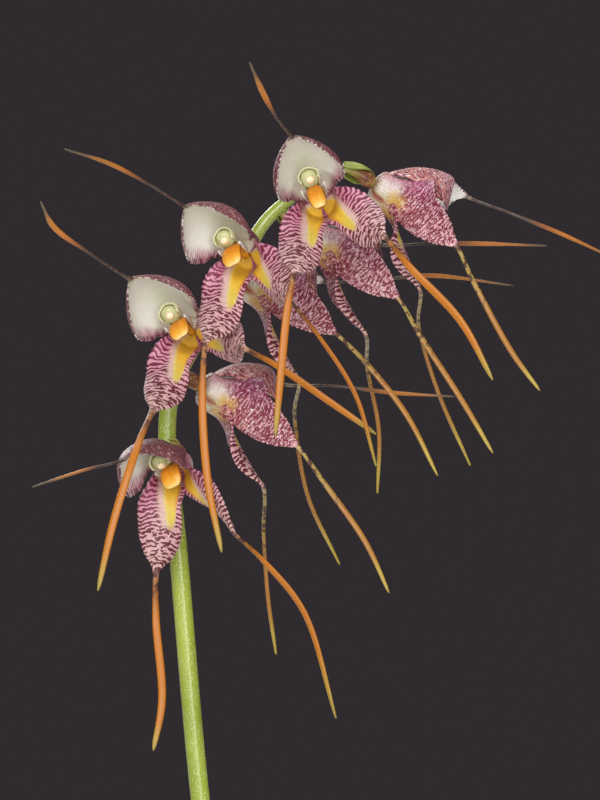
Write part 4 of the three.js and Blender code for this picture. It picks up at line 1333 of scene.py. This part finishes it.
def chipBody(chance, size):
    # a block with worn edges and a rough skin
    made = bmesh.new()
    bmesh.ops.create_cube(made, size=2)
    bmesh.ops.subdivide_edges(made, edges=made.edges, cuts=3, use_grid_fill=True)
    offset = Vector((chance.uniform(0, 50), chance.uniform(0, 50), chance.uniform(0, 50)))
    taper = chance.uniform(-0.3, 0.3)
    points = []
    for vertex in made.verts:
        c = vertex.co
        length = max(abs(k) for k in c)
        c = c.lerp(c.normalized() * length * 1.25, 0.28)
        c = Vector((c.x, c.y * (1 + taper * c.x), c.z * (1 + 0.2 * taper * c.y)))
        c = c * (1 + noise.noise(c * 1.4 + offset) * 0.22)
        fine = noise.noise(Vector((c.x * 2, c.y * 4, c.z * 3)) + offset) * 0.12
        points.append([c.x * size[0] / 2, c.y * size[1] / 2 * (1 + fine), c.z * size[2] / 2 * (1 + fine)])
    faces = [[v.index for v in face.verts] for face in made.faces]
    made.free()
    return np.array(points), faces


def makeBark():
    s = barkSettings
    chance = random.Random(s["seed"])
    heap = Heap()
    low, top = potSettings["floor"] + 0.4, s["top"] - 2
    profile = [
        (0.01, low), (insideRadius(low) - 0.5, low), (insideRadius(top) - 0.5, top - 1),
        (insideRadius(top) - 3, top), (0.01, top),
    ]
    points, faces = latheBody(profile, s["bedSides"])
    heap.add(points, faces, 0, shade=0.0)
    golden = math.pi * (3 - math.sqrt(5))
    for i in range(s["large"] + s["small"]):
        big = i < s["large"]
        count = s["large"] if big else s["small"]
        k = i if big else i - s["large"]
        scale = 1 if big else chance.uniform(0.3, 0.5)
        size = [chance.uniform(*s[key]) * scale for key in ("length", "width", "thickness")]
        body, faces = chipBody(chance, size)
        turn = Matrix.Identity(3)
        for axis, low, high in (("Z", 0, 6.28), ("X", -0.5, 0.5), ("Y", -0.4, 0.4)):
            turn = turn @ Matrix.Rotation(chance.uniform(low, high), 3, axis)
        body = body @ np.array(turn).T
        reach = insideRadius(s["top"]) - size[0] / 2 - 1.5
        distance = reach * math.sqrt((k + 0.5) / count)
        angle = k * golden + (0 if big else 1.7)
        z = s["top"] - 1 + (chance.uniform(-1.5, 2.2) if big else chance.uniform(1.0, 3.6))
        body = body + [distance * math.cos(angle), distance * math.sin(angle), z]
        heap.add(body, faces, 0, shade=chance.random())
    heap.piece("bark", [barkLook()], "bark", ["bark_chips"])


makeBark()
print("bark made")


# The clay pot


def clayLook():
    r = Recipe("clay_fired")
    place = r.place()
    broad = r.noise(place, 22.0, 4.0, 0.6)
    grain = r.noise(place, 700.0, 4.0, 0.7)
    rings = r.noise(r.stretched(place, (0.05, 0.05, 1.0)), 700.0, 3.0)
    ground = r.mix(broad.between(0.35, 0.65), "#b0603a", "#c47a50")
    height = r.node("ShaderNodeSeparateXYZ", None, [place], output="Z")
    # darker in blotches towards the bottom of the pot
    lowBlotches = height.between(0.045, 0.005) * broad.between(0.35, 0.6)
    ground = r.mix(lowBlotches * 0.5, ground, "#8f4a2e")
    bloom = (broad + (grain - 0.5) * 0.22).between(0.52, 0.74) * 0.5
    coloured = r.mix(bloom, ground, "#dcc4b0")
    coloured = r.mix(grain.between(0.62, 0.75) * 0.5, coloured, "#8a4328")
    return r.finish(coloured, 0.78 + grain * 0.15, (grain * 0.5 + rings * 0.7, 0.35, 0.0005))


def makePot():
    p = potSettings
    top, under = p["height"], p["height"] - p["rimHeight"]
    corners = [
        (0.01, 0, 0.0), (p["footRadius"], 0, 1.4), (potRadius(under), under, 0.6),
        (potRadius(under) + p["rimStep"], under + 1, 0.8), (p["rimRadius"], top, 1.6),
        (insideRadius(top), top, 1.4), (insideRadius(p["floor"]), p["floor"], 3.0), (0.01, p["floor"], 0.0),
    ]
    profile = []
    for i, (radius, z, bevel) in enumerate(corners):
        here = np.array([radius, z])
        if bevel == 0:
            profile.append(tuple(here))
            continue
        before = np.array(corners[i - 1][:2])
        after = np.array(corners[i + 1][:2])
        a, b = here + unit(before - here) * bevel, here + unit(after - here) * bevel
        for t in np.linspace(0, 1, p["bevelSteps"]):
            profile.append(tuple((1 - t) ** 2 * a + 2 * t * (1 - t) * here + t * t * b))
    filled = [profile[0]]
    for point in profile[1:]:
        start = filled[-1]
        steps = max(1, int(math.dist(point, start) / p["longestStep"]))
        for n in range(1, steps + 1):
            t = n / steps
            filled.append((start[0] + (point[0] - start[0]) * t, start[1] + (point[1] - start[1]) * t))
    points, faces = latheBody(filled, p["sides"])
    pot = addPiece("pot", points, faces, [clayLook()], ["clay_pot"])
    cutters = []
    for angle in p["drains"]:
        a = math.radians(angle)
        bpy.ops.mesh.primitive_cylinder_add(
            vertices=p["drainSides"],
            radius=p["drainRadius"] * mm,
            depth=p["cutDepth"] * mm,
            location=(p["drainRing"] * math.cos(a) * mm, p["drainRing"] * math.sin(a) * mm, 0),
        )
        cutters.append(bpy.context.object)
        cut = pot.modifiers.new("drain", "BOOLEAN")
        cut.operation = "DIFFERENCE"
        cut.object = cutters[-1]
        cut.solver = "EXACT"
    bpy.context.view_layer.update()
    ready = bpy.data.meshes.new_from_object(pot.evaluated_get(bpy.context.evaluated_depsgraph_get()))
    pot.modifiers.clear()
    pot.data = ready
    for cutter in cutters:
        bpy.data.objects.remove(cutter, do_unlink=True)


makePot()
print("pot made")


# Floor, light and camera

studio = {
    "floorRadius": 3.2,
    "backdrop": "#2f2b2e",
    "backdropStrength": 1.0,
    # place, where it points, size in metres, power in watts
    "key": [(-0.6, -2.5, 1.0), (0, 0, 0.24), 1.3, 50],
    "fill": [(0.7, -2.7, 0.35), (0, 0, 0.24), 1.2, 30],
    "top": [(0.2, 0.3, 2.6), (0, 0, 0.1), 2.6, 55],
    "back": [(-0.9, 2.1, 1.2), (0, 0, 0.24), 1.2, 25],
    # the camera's distance from the flowers and its lens: the picture is 90 mm wide and 120 mm high there
    "distance": 4.0,
    "lens": 1200,
}


def makeFloor():
    bpy.ops.mesh.primitive_circle_add(vertices=128, radius=studio["floorRadius"], fill_type="NGON")
    floor = bpy.context.object
    floor.name = "floor"
    r = Recipe("floor_paper")
    grain = r.noise(r.place(), 6.0, 3.0)
    floor.data.materials.append(r.finish(r.mix(grain, "#dcd9d4", "#e4e1dc"), 0.75 + grain * 0.1))


def makeLight(name, place, target, size, power):
    lamp = bpy.data.lights.new(name, "AREA")
    lamp.shape = "SQUARE"
    lamp.size = size
    lamp.energy = power
    body = bpy.data.objects.new(name, lamp)
    body.location = place
    body.rotation_euler = (Vector(target) - Vector(place)).to_track_quat("-Z", "Y").to_euler()
    bpy.context.scene.collection.objects.link(body)


def makeWorld():
    world = bpy.data.worlds.new("backdrop")
    bpy.context.scene.world = world
    world.use_nodes = True
    background = world.node_tree.nodes["Background"]
    background.inputs["Color"].default_value = colourOf(studio["backdrop"])
    background.inputs["Strength"].default_value = studio["backdropStrength"]


def makeCamera():
    lens = bpy.data.cameras.new("camera")
    lens.sensor_fit = "VERTICAL"
    lens.sensor_height = 36
    lens.lens = studio["lens"]
    lens.clip_start = 0.1
    body = bpy.data.objects.new("camera", lens)
    body.location = (0.007, -0.012 - studio["distance"], 0.265)
    body.rotation_euler = (math.radians(90), 0, 0)
    bpy.context.scene.collection.objects.link(body)
    bpy.context.scene.camera = body


makeFloor()
for word in ("key", "fill", "top", "back"):
    makeLight(f"{word}_light", *studio[word])
makeWorld()
makeCamera()
bpy.context.scene.view_settings.view_transform = "Standard"
print("studio made")
